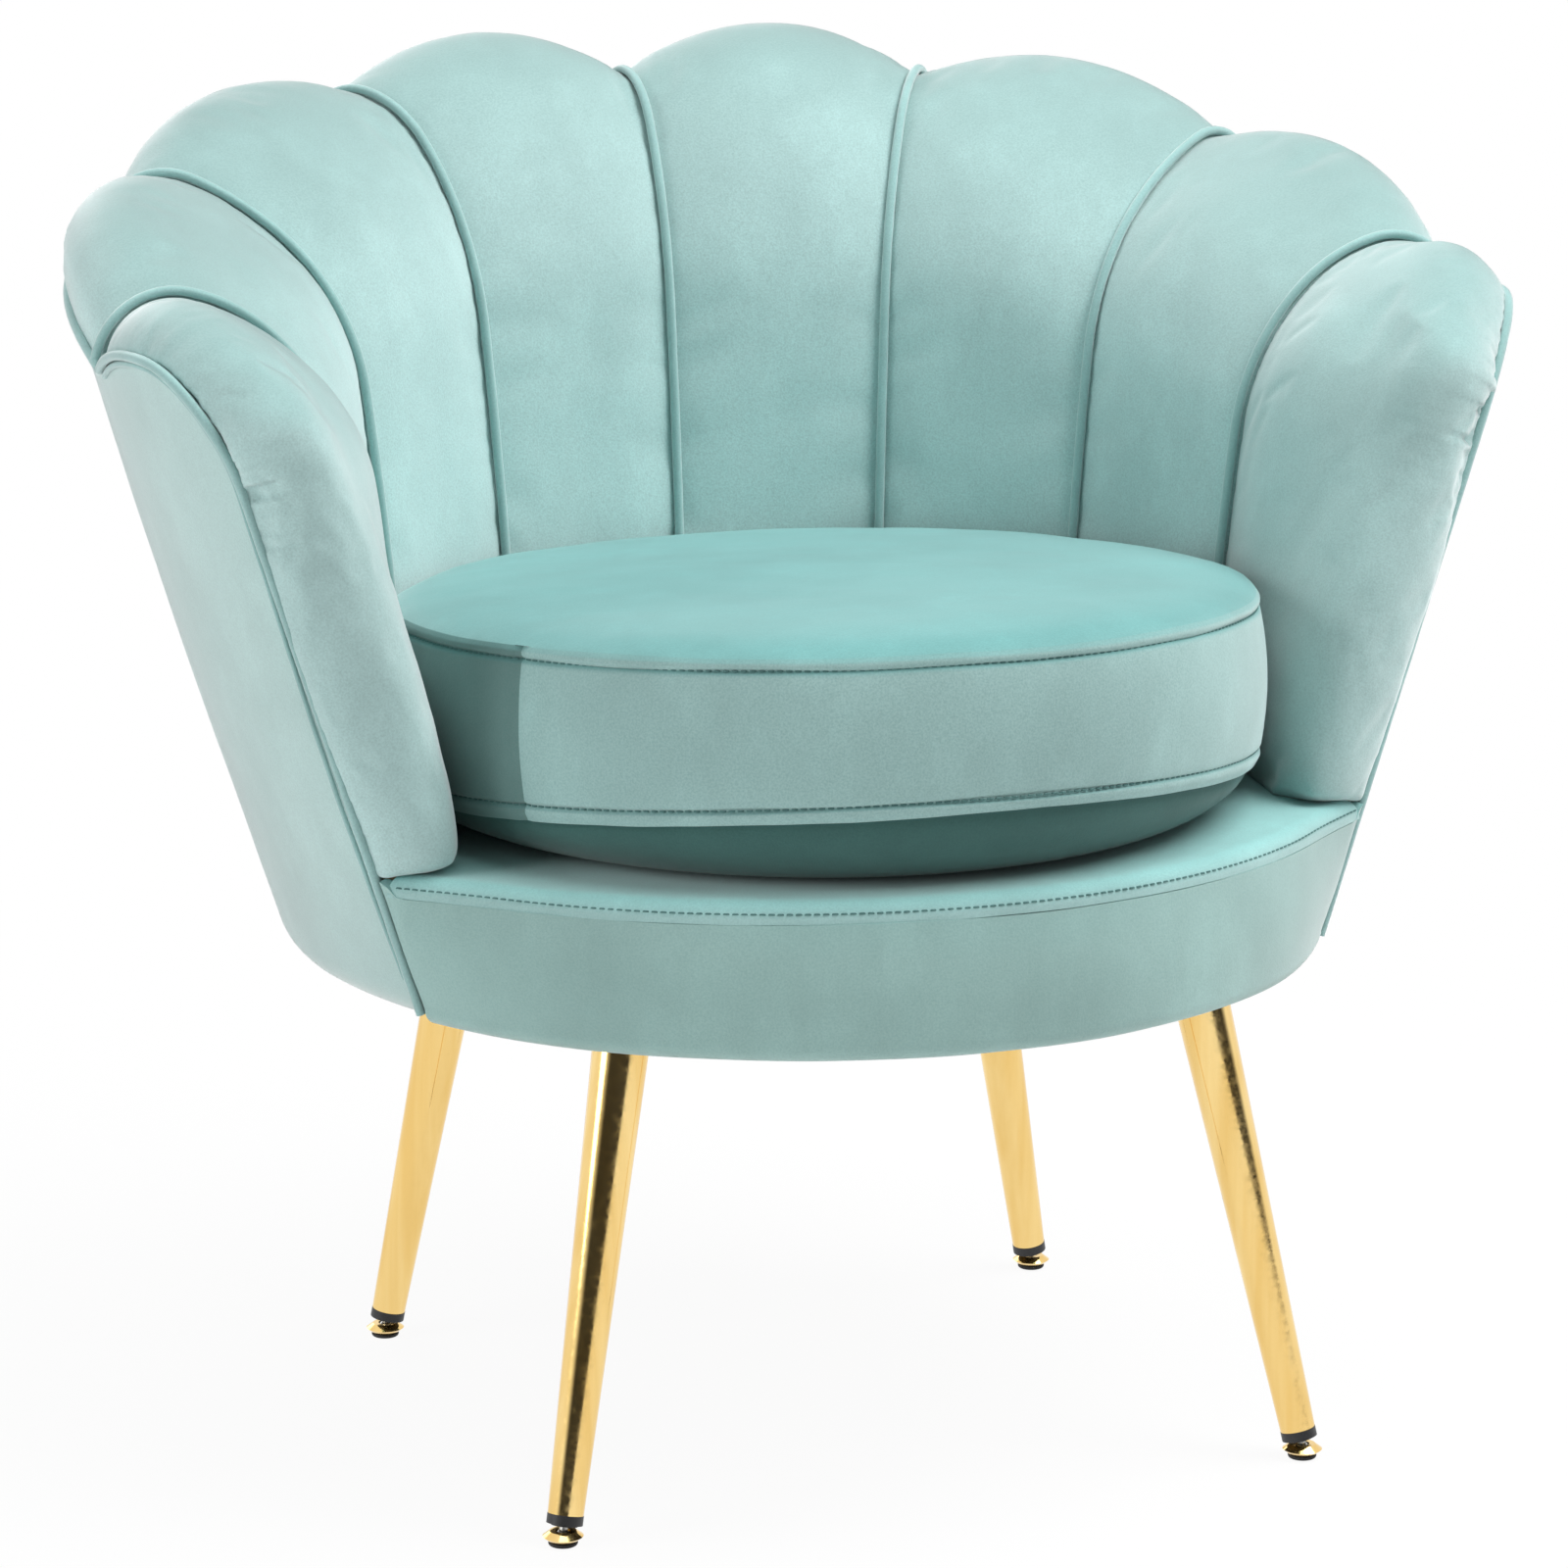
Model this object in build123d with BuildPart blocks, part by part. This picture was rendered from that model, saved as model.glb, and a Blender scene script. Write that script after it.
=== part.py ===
"""Scalloped tub armchair: a shell of padded petals, a loose round cushion and four splayed tube legs.

Millimetres, +Z up, the chair faces -Y and stands on Z = 0. The model is drawn about the upright axis
of the leg frame and moved at the end, so that its origin is the middle of its footprint.
"""
import os
from collections import namedtuple
from math import asin, atan2, cos, degrees, hypot, radians, sin, sqrt, tan

from build123d import *

# Clearances
SOFT_GAP = 0.3  # between soft pieces that lie against each other
CORD_GAP = 0.8  # beside a cord that lies in its slot
BACK_GAP = 0.9  # behind the pads, where they lean on the shell
RUN_GAP = 0.1  # round a stem in its bore and a ball in its socket

# Outer shell: a cone that leans out more at the sides than at the back
BASE_Z = 271.0  # lower edge of the upholstery
BASE_RADIUS = 295.0  # outer shell at that edge, before it tucks under
SIDE_LEAN = 17.4  # degrees
BACK_LEAN = 10.2
PANEL_THICK = 6.0
TUCK_HEIGHT = 20.0  # the lower edge of the outer panel rounds under from here
TUCK_DEPTH = 20.6
SHELL_THICK = 10.0

# Round seat, forward of the leg frame's axis
SEAT_CENTRE_Y = -39.0
FOOT_PAD = 49.15  # padding at the foot of the walls, at the sides
DECK_TOP = 357.0
DECK_THICK = 29.0
DECK_FRONT_INSET = 20.0  # from the base's edge back to the deck's front edge
DECK_FRONT_CENTRE_Y = 40.0  # centre of that edge's flatter curve
DECK_ROUND = 4.0

# Padded petals, section by section round the back
PIPING_ANGLES = (0.0, 31.5, 62.0, 90.0)  # from the middle of the back, each side
RIDGE_HEIGHTS = (732.5, 729.5, 696.5, 654.0)  # top of the roll in the valleys at those angles
ROLL_WIDTH = 49.0  # from the ridge out to the edge welt
WELT_DROP = 36.0  # from the ridge down to the edge welt
SHOULDER_IN = 44.0
SHOULDER_DROP = 25.0
WALL_SHARE = 0.65  # share of the height where the roll starts
WALL_LEAN = 5.3
FOOT_LEAN = 3.0
CROWN_FOOT = 3.0  # how far a petal's middle stands out of its valleys
CROWN_WALL = 10.0
CROWN_RIDGES = (29.0, 24.0, 19.0)  # of the three petals on each side of the middle
CROWN_WELTS = (20.0, 14.0, 10.0)

# Arm fronts: the last petal rolls round the front of the arm
ARM_WELT_Y = 133.0  # forward of the axis
ARM_RISE = 5.0  # of its ridge between the last valley and its front
ARM_DROP = 85.0  # of its ridge, down to the nose's tip
ARM_DROP_FROM = 35.0
ARM_WELT_RISE = 16.0
ARM_WELT_DROP = 70.0
ARM_WELT_DROP_FROM = 85.0
NOSE_FROM = 115.0  # the foot of the inner wall rounds outwards from here
NOSE_RAKE = 112.0  # and its top from this much further back
NOSE_POWER = 1.5  # of that rounding: 1 is a straight cut, 2 an ellipse
NOSE_TIP = 158.0
NOSE_END = 4.0  # the rounded drops end this much past the tip and the pad
NOSE_INSET = 10.0  # the nose's tip lies this much inside the outer shell
NOSE_BULGE = 6.0  # how far its outer side swells past the welt

# Cords
PIPING_RADIUS = 2.75
PIPING_LIFT = 4.2  # piping's centre above the bottom of its valley
WELT_RADIUS = 2.75
RIM_STEP_COUNT = 10  # straight lengths of the rim's welt over each petal

# Loose cushion
CUSHION_GAP = 6.5  # between its side and the foot of the walls
CUSHION_SEAM_INSET = 6.0
CUSHION_LOW_RISE = 43.0  # lower seam above the deck
CUSHION_BOXING = 87.0  # from seam to seam
CUSHION_CROWN = 16.0
CUSHION_TUCK = 60.0  # its underside rests this much inside its side
CUSHION_TILT = 2.8  # degrees, down to the back

# Front band
BAND_DROP = 2.0  # its top below the deck's
BAND_THICK = 11.0
BAND_LOW_OUT = 4.0  # its foot outside the base's edge
BAND_ROUND = 10.0
BAND_FLARE = 28.0  # length over which its ends widen to meet the arm welts
FLARE_INSET = 1.0

# Seat frame
BOARD_THICK = 18.0
BOARD_INSET = 20.0  # inside the shell
RAIL_WIDTH = 50.0
STRAP_WIDTH = 50.0
STRAP_PITCH = 100.0
STRAP_COUNT = 4
STRAP_THICK = 1.2
STRAP_INSET = 8.0
DUST_THICK = 1.0
DUST_GAP = 0.5  # round the leg plates

# Legs
FRONT_LEG_INSET = 46.14  # from the base's edge to the middle of the leg's top
FRONT_LEG_ANGLE = -47.54  # of that middle round the axis
FRONT_SPLAY = (50.3, -44.7)  # from there to the centre of the levelling foot
BACK_LEG_INSET = 81.59
BACK_LEG_ANGLE = 41.353
BACK_SPLAY = (48.4, 19.1)
LEG_TOP_RADIUS = 15.8
LEG_LOW_RADIUS = 9.9
LEG_WALL = 1.2
PLATE_LENGTH = 60.0  # towards the axis
PLATE_WIDTH = 52.0
PLATE_INSET = 4.0  # the plate's middle lies this much nearer the axis than the leg
PLATE_THICK = 3.0
PLATE_CORNER = 6.0
SCREW_EDGE = 7.0  # from the plate's edges to a screw
SCREW_COUNT = 2  # along each edge
SCREW_RADIUS = 1.8
SCREW_LENGTH = 14.0
SCREW_HEAD_RADIUS = 3.6
SCREW_HEAD = 2.0

# Levelling feet, measured up from the floor or along the stem from its ball
BALL_Z = 5.0
BALL_RADIUS = 4.2
STEM_NECK_RADIUS = 2.5
STEM_RADIUS = 4.0
STEM_SHOULDER = 6.0
STEM_LENGTH = 44.0
PAD_FLAT_RADIUS = 6.4
PAD_RADIUS = 8.0
PAD_HEIGHT = 2.7
CUP_RIM_RADIUS = 11.2
CUP_RIM_Z = 5.4
CUP_NECK_RADIUS = 7.3
CUP_TOP_Z = 8.3
CUP_TOP_WALL = 1.4
CUP_BORE = 7.2
CUP_MOUTH = 4.0
FERRULE_BOTTOM = 5.6
FERRULE_NECK_RADIUS = 7.3
FERRULE_STEP = 6.6
FERRULE_RADIUS = 10.0
FERRULE_TOP = 12.0
FERRULE_PLUG = 26.0

Station = namedtuple("Station", "plane outer foot knee shoulder ridge welt lean slot middle", defaults=[FOOT_LEAN, 1, None])


# Shapes shared by the pieces

def side_reach(z):
    """Half width of the outer shell at a height."""
    return BASE_RADIUS + tan(radians(SIDE_LEAN)) * (z - BASE_Z)


def back_reach(z):
    """Half depth of the outer shell at a height."""
    return BASE_RADIUS + tan(radians(BACK_LEAN)) * (z - BASE_Z)


def circle_reach(angle, centre_y, radius):
    """Distance from the axis to a circle centred on Y, at an angle from the back."""
    turn = radians(angle)
    return centre_y * cos(turn) + sqrt(radius ** 2 - (centre_y * sin(turn)) ** 2)


def radial_plane(angle):
    """Upright plane through the axis, X outwards and Y up."""
    turn = radians(angle)
    return Plane(origin=(0, 0, 0), x_dir=(sin(turn), cos(turn), 0), z_dir=(cos(turn), -sin(turn), 0))


def arm_plane(forward):
    """Upright plane across the right arm, X to the right and Y up."""
    return Plane(origin=(0, -forward, 0), x_dir=(1, 0, 0), z_dir=(0, -1, 0))


def rounding(distance, start, end, power=2):
    """Quarter ellipse, or another power's curve, that falls from 1 at the start to 0 at the end."""
    return (1 - (max(0, distance - start) / (end - start)) ** power) ** (1 / power)


WALL_RADIUS = side_reach(DECK_TOP) - PANEL_THICK - SHELL_THICK - SOFT_GAP - FOOT_PAD
DECK_FRONT_RADIUS = BASE_RADIUS - DECK_FRONT_INSET + DECK_FRONT_CENTRE_Y
FOOT_Z = DECK_TOP + SOFT_GAP
ARM_RIDGE = RIDGE_HEIGHTS[-1]
WELT_SLOT = WELT_RADIUS + CORD_GAP
ARM_PAD_END = ARM_WELT_Y + WELT_SLOT
ARM_PANEL_END = ARM_WELT_Y - WELT_SLOT


def wall_points(foot, ridge_z, edge, wall_crown):
    """Knee, shoulder and ridge of a pad's section between its foot and its outer edge."""
    knee_rise = WALL_SHARE * (ridge_z - FOOT_Z)
    knee = (foot + tan(radians(WALL_LEAN)) * knee_rise - wall_crown, FOOT_Z + knee_rise)
    ridge = (edge - ROLL_WIDTH, ridge_z)
    shoulder = (ridge[0] - SHOULDER_IN, ridge_z - SHOULDER_DROP)
    return knee, shoulder, ridge


def radial_station(angle, ridge_z, crown_foot=0, crown_wall=0, crown_ridge=0, crown_welt=0):
    """Section through the back at an angle: a valley, or with crowns a petal's middle."""
    turn = radians(angle)

    def outer(z):
        return 1 / hypot(sin(turn) / side_reach(z), cos(turn) / back_reach(z))

    welt_z = ridge_z - WELT_DROP + crown_welt
    top_z = ridge_z + crown_ridge
    welt = (outer(welt_z), welt_z)
    foot = circle_reach(angle, SEAT_CENTRE_Y, WALL_RADIUS)
    knee, shoulder, ridge = wall_points(foot, top_z, welt[0], crown_wall)
    return Station(radial_plane(angle), outer, (foot - crown_foot, FOOT_Z), knee, shoulder, ridge, welt)


def drawn_in(point, middle, share):
    """Point of a section moved sideways towards its middle line."""
    centre = middle(point[1])
    return (centre + share * (point[0] - centre), point[1])


def arm_crown(forward):
    """How far along its swell an arm is: 0 in the valley and at the end of the pad, 1 between them."""
    share = forward / ARM_PAD_END
    return 4 * share * (1 - share)


def arm_welt_z(forward):
    """Height of the welt along the arm, which turns down towards the front."""
    turn_down = 1 - rounding(forward, ARM_WELT_DROP_FROM, ARM_PAD_END + NOSE_END)
    return ARM_RIDGE - WELT_DROP + ARM_WELT_RISE * arm_crown(forward) - ARM_WELT_DROP * turn_down


def arm_station(forward):
    """Section across the right arm, at a distance forward of the axis."""
    crown = arm_crown(forward)
    welt_y = min(forward, ARM_PAD_END)
    welt_z = arm_welt_z(welt_y)
    slot = hypot(1, welt_z - arm_welt_z(welt_y - 1))  # the slope of the welt widens its slot upwards

    def outer(z):
        return side_reach(z) * sqrt(1 - (forward / back_reach(z)) ** 2)

    top_z = ARM_RIDGE + ARM_RISE * crown - ARM_DROP * (1 - rounding(forward, ARM_DROP_FROM, NOSE_TIP + NOSE_END))
    foot = sqrt(WALL_RADIUS ** 2 - (forward + SEAT_CENTRE_Y) ** 2)
    knee, shoulder, ridge = wall_points(foot, top_z, outer(top_z - WELT_DROP), crown * CROWN_WALL)

    def middle(z):
        return outer(min(z, welt_z)) - NOSE_INSET

    def slim(z):
        start = NOSE_FROM - NOSE_RAKE * (z - FOOT_Z) / (top_z - FOOT_Z)
        return rounding(forward, start, NOSE_TIP, NOSE_POWER)

    wall = [(foot - crown * CROWN_FOOT, FOOT_Z), knee, shoulder, ridge]
    wall = [drawn_in(point, middle, slim(point[1])) for point in wall]
    lean = FOOT_LEAN + (1 - slim(FOOT_Z)) * (SIDE_LEAN - FOOT_LEAN)
    return Station(arm_plane(forward), outer, *wall, (outer(welt_z), welt_z), lean, slot, middle)


def petal_stations(index):
    """Valley, middle and valley of one petal on the right of the back."""
    first, last = PIPING_ANGLES[index], PIPING_ANGLES[index + 1]
    low, high = RIDGE_HEIGHTS[index], RIDGE_HEIGHTS[index + 1]
    crowns = (CROWN_FOOT, CROWN_WALL, CROWN_RIDGES[index], CROWN_WELTS[index])
    middle = radial_station((first + last) / 2, (low + high) / 2, *crowns)
    return [radial_station(first, low), middle, radial_station(last, high)]


PETAL_COUNT = len(PIPING_ANGLES) - 1
ARM_STEPS = (0.0, 0.15, 0.35, 0.6, 0.8, 0.91, 1.0)
ARM_WELT_STEPS = (0.0, 0.15, 0.3, 0.45, 0.6, 0.7, 0.8, 0.87, 0.92, 0.96, 1.0)
ARM_STATIONS = [arm_station(step * ARM_PAD_END) for step in ARM_STEPS]
ARM_PANEL_STATIONS = [arm_station(step * ARM_PANEL_END) for step in ARM_STEPS]
BACK_STATIONS = [petal_stations(index) for index in range(PETAL_COUNT)]


def shell_inner(station, z):
    """Inner face of the plywood shell at a height."""
    return station.outer(z) - PANEL_THICK - SHELL_THICK - SOFT_GAP


def wall_line(station, edge_gap=WELT_SLOT):
    """Points of a pad's visible line, from its foot over the ridge to its welt."""
    edge = (station.welt[0], station.welt[1] + edge_gap * station.slot)
    return [station.foot, station.knee, station.shoulder, station.ridge, edge]


def arc_directions(points, lean=FOOT_LEAN):
    """Directions at the points of a chain of tangent arcs that leaves its foot with a lean."""
    directions = [(sin(radians(lean)), cos(radians(lean)))]
    for start, end in zip(points, points[1:]):
        chord = (end[0] - start[0], end[1] - start[1])
        share = 2 * (directions[-1][0] * chord[0] + directions[-1][1] * chord[1]) / hypot(*chord) ** 2
        directions.append((share * chord[0] - directions[-1][0], share * chord[1] - directions[-1][1]))
    return directions


def draw_chain(points, lean=FOOT_LEAN):
    """Tangent arcs through the points, inside a line builder."""
    for start, end, direction in zip(points, points[1:], arc_directions(points, lean)):
        TangentArc(start, end, tangent=direction)


def pad_section(station):
    """Closed section of a petal: visible line, hook over the shell, back and foot."""
    line = wall_line(station)
    hook = (shell_inner(station, line[-1][1]) - BACK_GAP, line[-1][1])
    heel = (shell_inner(station, FOOT_Z) - BACK_GAP, FOOT_Z)
    with BuildSketch(station.plane) as section:
        with BuildLine():
            draw_chain(line, station.lean)
            Polyline(line[-1], hook, heel, line[0])
        make_face()
    return section.sketch


def nose_section(forward):
    """Closed section of the arm's rounded front, where its outer side draws in too."""
    station = arm_station(forward)
    slim = rounding(forward, ARM_PAD_END, NOSE_TIP)
    line = wall_line(station)
    middle_z = (line[-1][1] + FOOT_Z) / 2
    outside = [line[-1], (station.outer(middle_z) + NOSE_BULGE, middle_z), (station.outer(FOOT_Z), FOOT_Z)]
    outside = [drawn_in(point, station.middle, slim) for point in outside]
    with BuildSketch(station.plane) as section:
        with BuildLine():
            draw_chain(line[:-1] + outside[:1], station.lean)
            ThreePointArc(*outside)
            Line(outside[-1], line[0])
        make_face()
    return section.sketch


def panel_section(station):
    """Closed section of the outer panel: straight wall and rounded lower edge."""
    top_z = station.welt[1] - WELT_SLOT * station.slot
    bend_z = BASE_Z + TUCK_HEIGHT
    top, bend = station.outer(top_z), station.outer(bend_z)
    flange = station.outer(BASE_Z) - TUCK_DEPTH
    down = (bend - top, bend_z - top_z)
    with BuildSketch(station.plane) as section:
        with BuildLine():
            Line((top, top_z), (bend, bend_z))
            TangentArc((bend, bend_z), (flange, BASE_Z), tangent=down)
            Line((flange, BASE_Z), (flange, BASE_Z + PANEL_THICK))
            TangentArc((bend - PANEL_THICK, bend_z), (flange, BASE_Z + PANEL_THICK), tangent=down)
            Polyline((bend - PANEL_THICK, bend_z), (top - PANEL_THICK, top_z), (top, top_z))
        make_face()
    return section.sketch


def shell_section(station):
    """Closed section of the plywood back shell."""
    top_z = station.welt[1] - WELT_SLOT * station.slot
    low_z = BASE_Z + TUCK_HEIGHT
    skin = PANEL_THICK + SOFT_GAP
    top, low = station.outer(top_z) - skin, station.outer(low_z) - skin
    with BuildSketch(station.plane) as section:
        with BuildLine():
            Polyline((top, top_z), (low, low_z), (low - SHELL_THICK, low_z), (top - SHELL_THICK, top_z), close=True)
        make_face()
    return section.sketch


def welt_section(plane, place):
    """Round section of an edge welt, in the slot between the pads and the outer panel."""
    with BuildSketch(plane) as section:
        with Locations(place):
            Circle(WELT_RADIUS)
    return section.sketch


def rim_section(stations, share):
    """Section of the back's welt at a share of a petal's width, on the curve through its three stations."""
    first, middle, last = [station.plane.from_local_coords(Vector(*station.welt)) for station in stations]
    weights = ((1 - share) * (1 - 2 * share), 4 * share * (1 - share), share * (2 * share - 1))
    centre = first * weights[0] + middle * weights[1] + last * weights[2]
    return welt_section(radial_plane(degrees(atan2(centre.X, centre.Y))), (hypot(centre.X, centre.Y), centre.Z))


def seat_outline(front_radius, back_radius):
    """Plan of the seat: a circle with a flatter front, inside a sketch builder."""
    Circle(back_radius)
    with Locations((0, DECK_FRONT_CENTRE_Y)):
        Circle(front_radius, mode=Mode.INTERSECT)


pieces = {}


def keep(name, part):
    """Hold a finished piece under its name."""
    pieces[name] = part


def keep_pair(name, part):
    """Hold a right-hand piece and its mirrored left-hand twin."""
    keep(name + "_right", part)
    with BuildPart() as twin:
        mirror(part, about=Plane.YZ)
    keep(name + "_left", twin.part)


# Padded petals of the back

for index, stations in enumerate(BACK_STATIONS):
    with BuildPart() as petal:
        loft([pad_section(station) for station in stations])
    keep_pair(f"petal_{index + 1}", petal.part)

# Arm petals, with the rounded nose that covers the front of the arm
NOSE_STEPS = (0.0, 0.36, 0.68, 0.92)
with BuildPart() as arm_petal:
    loft([pad_section(station) for station in ARM_STATIONS])
    loft([nose_section(ARM_PAD_END + step * (NOSE_TIP - ARM_PAD_END)) for step in NOSE_STEPS])
keep_pair("arm_petal", arm_petal.part)

# Pipings in the valleys, from the deck over the ridge to the edge welt

for index, (angle, ridge_z) in enumerate(zip(PIPING_ANGLES, RIDGE_HEIGHTS)):
    valley = wall_line(radial_station(angle, ridge_z), WELT_SLOT + CORD_GAP)
    lifted = [
        (point[0] - PIPING_LIFT * along[1], point[1] + PIPING_LIFT * along[0])
        for point, along in zip(valley, arc_directions(valley))
    ]
    with BuildPart() as piping:
        with BuildLine(radial_plane(angle)) as route:
            draw_chain(lifted)
        with BuildSketch(Plane(origin=route.line @ 0, z_dir=route.line % 0)):
            Circle(PIPING_RADIUS)
        sweep(path=route.line)
    if index == 0:
        keep("piping_centre", piping.part)
    else:
        keep_pair(f"piping_{index}", piping.part)

# Edge welt round the back rim, and one along each arm that turns down its front

with BuildPart() as edge_welt:
    for stations in BACK_STATIONS:
        loft([rim_section(stations, step / RIM_STEP_COUNT) for step in range(RIM_STEP_COUNT + 1)], ruled=True)
    mirror(about=Plane.YZ)
keep("edge_welt_back", edge_welt.part)

front_low_z = BASE_Z + PANEL_THICK
welt_stations = [arm_station(CORD_GAP + step * (ARM_WELT_Y - CORD_GAP)) for step in ARM_WELT_STEPS]
route = [station.plane.from_local_coords(Vector(*station.welt)) for station in welt_stations]
route.append(Vector(welt_stations[-1].outer(front_low_z), -ARM_WELT_Y, front_low_z))
lengths = [(end - start).normalized() for start, end in zip(route, route[1:])]
turns = [before + after for before, after in zip(lengths, lengths[1:])]
turns = [Vector(0, -1, 0)] + turns + lengths[-1:]
with BuildPart() as arm_welt:
    planes = [Plane(origin=point, x_dir=(1, 0, 0), z_dir=turn) for point, turn in zip(route, turns)]
    for start, end in zip(planes, planes[1:]):
        loft([welt_section(start, (0, 0)), welt_section(end, (0, 0))])
keep_pair("arm_welt", arm_welt.part)

# Outer panel and the plywood shell behind it

with BuildPart() as outer_panel:
    for stations in BACK_STATIONS + [ARM_PANEL_STATIONS]:
        loft([panel_section(station) for station in stations])
    mirror(about=Plane.YZ)
keep("outer_panel", outer_panel.part)

with BuildPart() as back_shell:
    for stations in BACK_STATIONS + [ARM_PANEL_STATIONS]:
        loft([shell_section(station) for station in stations])
    mirror(about=Plane.YZ)
keep("back_shell", back_shell.part)

# Loose cushion: crowned top and underside, boxed side that swells between its seams

cushion_bottom = DECK_TOP + SOFT_GAP
cushion_radius = WALL_RADIUS - CUSHION_GAP
seam_radius = cushion_radius - CUSHION_SEAM_INSET
rest_radius = cushion_radius - CUSHION_TUCK
low_seam = DECK_TOP + CUSHION_LOW_RISE
front_seam = (0, SEAT_CENTRE_Y - seam_radius, low_seam)
tilted = Plane(origin=front_seam, x_dir=(1, 0, 0), z_dir=(0, sin(radians(CUSHION_TILT)), cos(radians(CUSHION_TILT))))
seam_centre = tilted.from_local_coords(Vector(0, seam_radius, 0))


def tuck_ring(share):
    """Circle round the underside at a share of the way from its rest up to the lower seam."""
    rise = 1 - cos(asin(share))
    lean = radians(CUSHION_TILT) * rise
    centre_y = SEAT_CENTRE_Y + rise * (seam_centre.Y - SEAT_CENTRE_Y)
    height = cushion_bottom + rise * (seam_centre.Z - cushion_bottom)
    with BuildSketch(Plane(origin=(0, centre_y, height), x_dir=(1, 0, 0), z_dir=(0, sin(lean), cos(lean)))) as section:
        Circle(rest_radius + share * (seam_radius - rest_radius))
    return section.sketch


with BuildPart() as seat_cushion:
    with BuildSketch(Plane(origin=seam_centre, x_dir=(1, 0, 0), z_dir=-tilted.y_dir)):
        with BuildLine():
            Line((0, 0), (seam_radius, 0))
            ThreePointArc((seam_radius, 0), (cushion_radius, CUSHION_BOXING / 2), (seam_radius, CUSHION_BOXING))
            TangentArc((0, CUSHION_BOXING + CUSHION_CROWN), (seam_radius, CUSHION_BOXING), tangent=(1, 0))
            Line((0, CUSHION_BOXING + CUSHION_CROWN), (0, 0))
        make_face()
    revolve(axis=Axis(seam_centre, tilted.z_dir))
    loft([tuck_ring(share) for share in (0, 0.35, 0.65, 0.88, 1)], ruled=True)
keep("seat_cushion", seat_cushion.part)

# Seat frame: deck, webbing, rails, base board and dust cover, from the top down

deck_bottom = DECK_TOP - DECK_THICK
strap_top = deck_bottom
strap_middle = strap_top - STRAP_THICK
rail_top = strap_middle - STRAP_THICK
board_bottom = BASE_Z + PANEL_THICK + SOFT_GAP
board_top = board_bottom + BOARD_THICK
shell_foot = back_reach(BASE_Z + TUCK_HEIGHT) - PANEL_THICK - SHELL_THICK - SOFT_GAP
seat_back_radius = shell_foot - SOFT_GAP

def rounded_disc(radius, centre_y):
    """Disc as thick as the deck, with its upper edge rounded."""
    with BuildPart() as disc:
        with BuildSketch(Plane.XY.offset(deck_bottom)):
            with Locations((0, centre_y)):
                Circle(radius)
        extrude(amount=DECK_THICK)
        fillet(disc.edges().group_by(Axis.Z)[-1], DECK_ROUND)
    return disc.part


with BuildPart() as seat_deck:
    add(rounded_disc(seat_back_radius, 0))
    add(rounded_disc(DECK_FRONT_RADIUS, DECK_FRONT_CENTRE_Y), mode=Mode.INTERSECT)
keep("seat_deck", seat_deck.part)

for name, height, turn in (("webbing_lengthwise", rail_top, 90), ("webbing_crosswise", strap_middle, 0)):
    with BuildPart() as webbing:
        with BuildSketch(Plane.XY.offset(height).rotated((0, 0, turn))):
            for row in range(STRAP_COUNT):
                offset_y = (row - (STRAP_COUNT - 1) / 2) * STRAP_PITCH
                outer_edge = abs(offset_y) + STRAP_WIDTH / 2
                reach = seat_back_radius - STRAP_INSET
                front_reach = DECK_FRONT_RADIUS - DECK_FRONT_CENTRE_Y - STRAP_INSET
                half_length = sqrt(min(reach, front_reach) ** 2 - outer_edge ** 2)
                with Locations((0, offset_y)):
                    Rectangle(2 * half_length, STRAP_WIDTH)
        extrude(amount=STRAP_THICK)
    keep(name, webbing.part)

for name, turn in (("right", 0), ("back", 90), ("left", 180), ("front", 270)):
    with BuildPart() as seat_rail:
        with BuildSketch(Plane.XY.offset(board_top)):
            seat_outline(DECK_FRONT_RADIUS, seat_back_radius)
            Circle(seat_back_radius - RAIL_WIDTH, mode=Mode.SUBTRACT)
            with Locations(Location((0, 0, 0), (0, 0, turn - 45))):
                quarter = 2 * seat_back_radius
                Rectangle(quarter, quarter, align=(Align.MIN, Align.MIN), mode=Mode.INTERSECT)
        extrude(amount=rail_top - board_top)
    keep(f"seat_rail_{name}", seat_rail.part)

# Legs: each stands on the line from the ball of its levelling foot to the base

Leg = namedtuple("Leg", "name foot top")
plate_bottom = board_bottom - PLATE_THICK
SCREW_GRID = (PLATE_LENGTH - 2 * SCREW_EDGE, PLATE_WIDTH - 2 * SCREW_EDGE)


def right_leg(name, inset, angle, splay):
    """Centre of a leg's levelling foot and middle of its top, from the base's edge."""
    reach = BASE_RADIUS - inset
    top = (reach * cos(radians(angle)), reach * sin(radians(angle)))
    return Leg(name, (top[0] + splay[0], top[1] + splay[1]), top)


RIGHT_LEGS = (
    right_leg("front", FRONT_LEG_INSET, FRONT_LEG_ANGLE, FRONT_SPLAY),
    right_leg("back", BACK_LEG_INSET, BACK_LEG_ANGLE, BACK_SPLAY),
)


def plate_place(leg, side):
    """Middle of a leg's plate, turned towards the axis."""
    turn = atan2(leg.top[1], side * leg.top[0])
    reach = hypot(*leg.top) - PLATE_INSET
    return Location((reach * cos(turn), reach * sin(turn), 0), (0, 0, degrees(turn)))


plate_places = [plate_place(leg, side) for leg in RIGHT_LEGS for side in (1, -1)]


def base_outline(back_radius):
    """Plan of the underside: a disc that reaches the front band between the arms, inside a sketch builder."""
    seat_outline(DECK_FRONT_RADIUS, seat_back_radius)
    with Locations((0, -ARM_PAD_END)):
        Rectangle(2 * DECK_FRONT_RADIUS, DECK_FRONT_RADIUS, align=(Align.CENTER, Align.MAX), mode=Mode.INTERSECT)
    Circle(back_radius)


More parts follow.
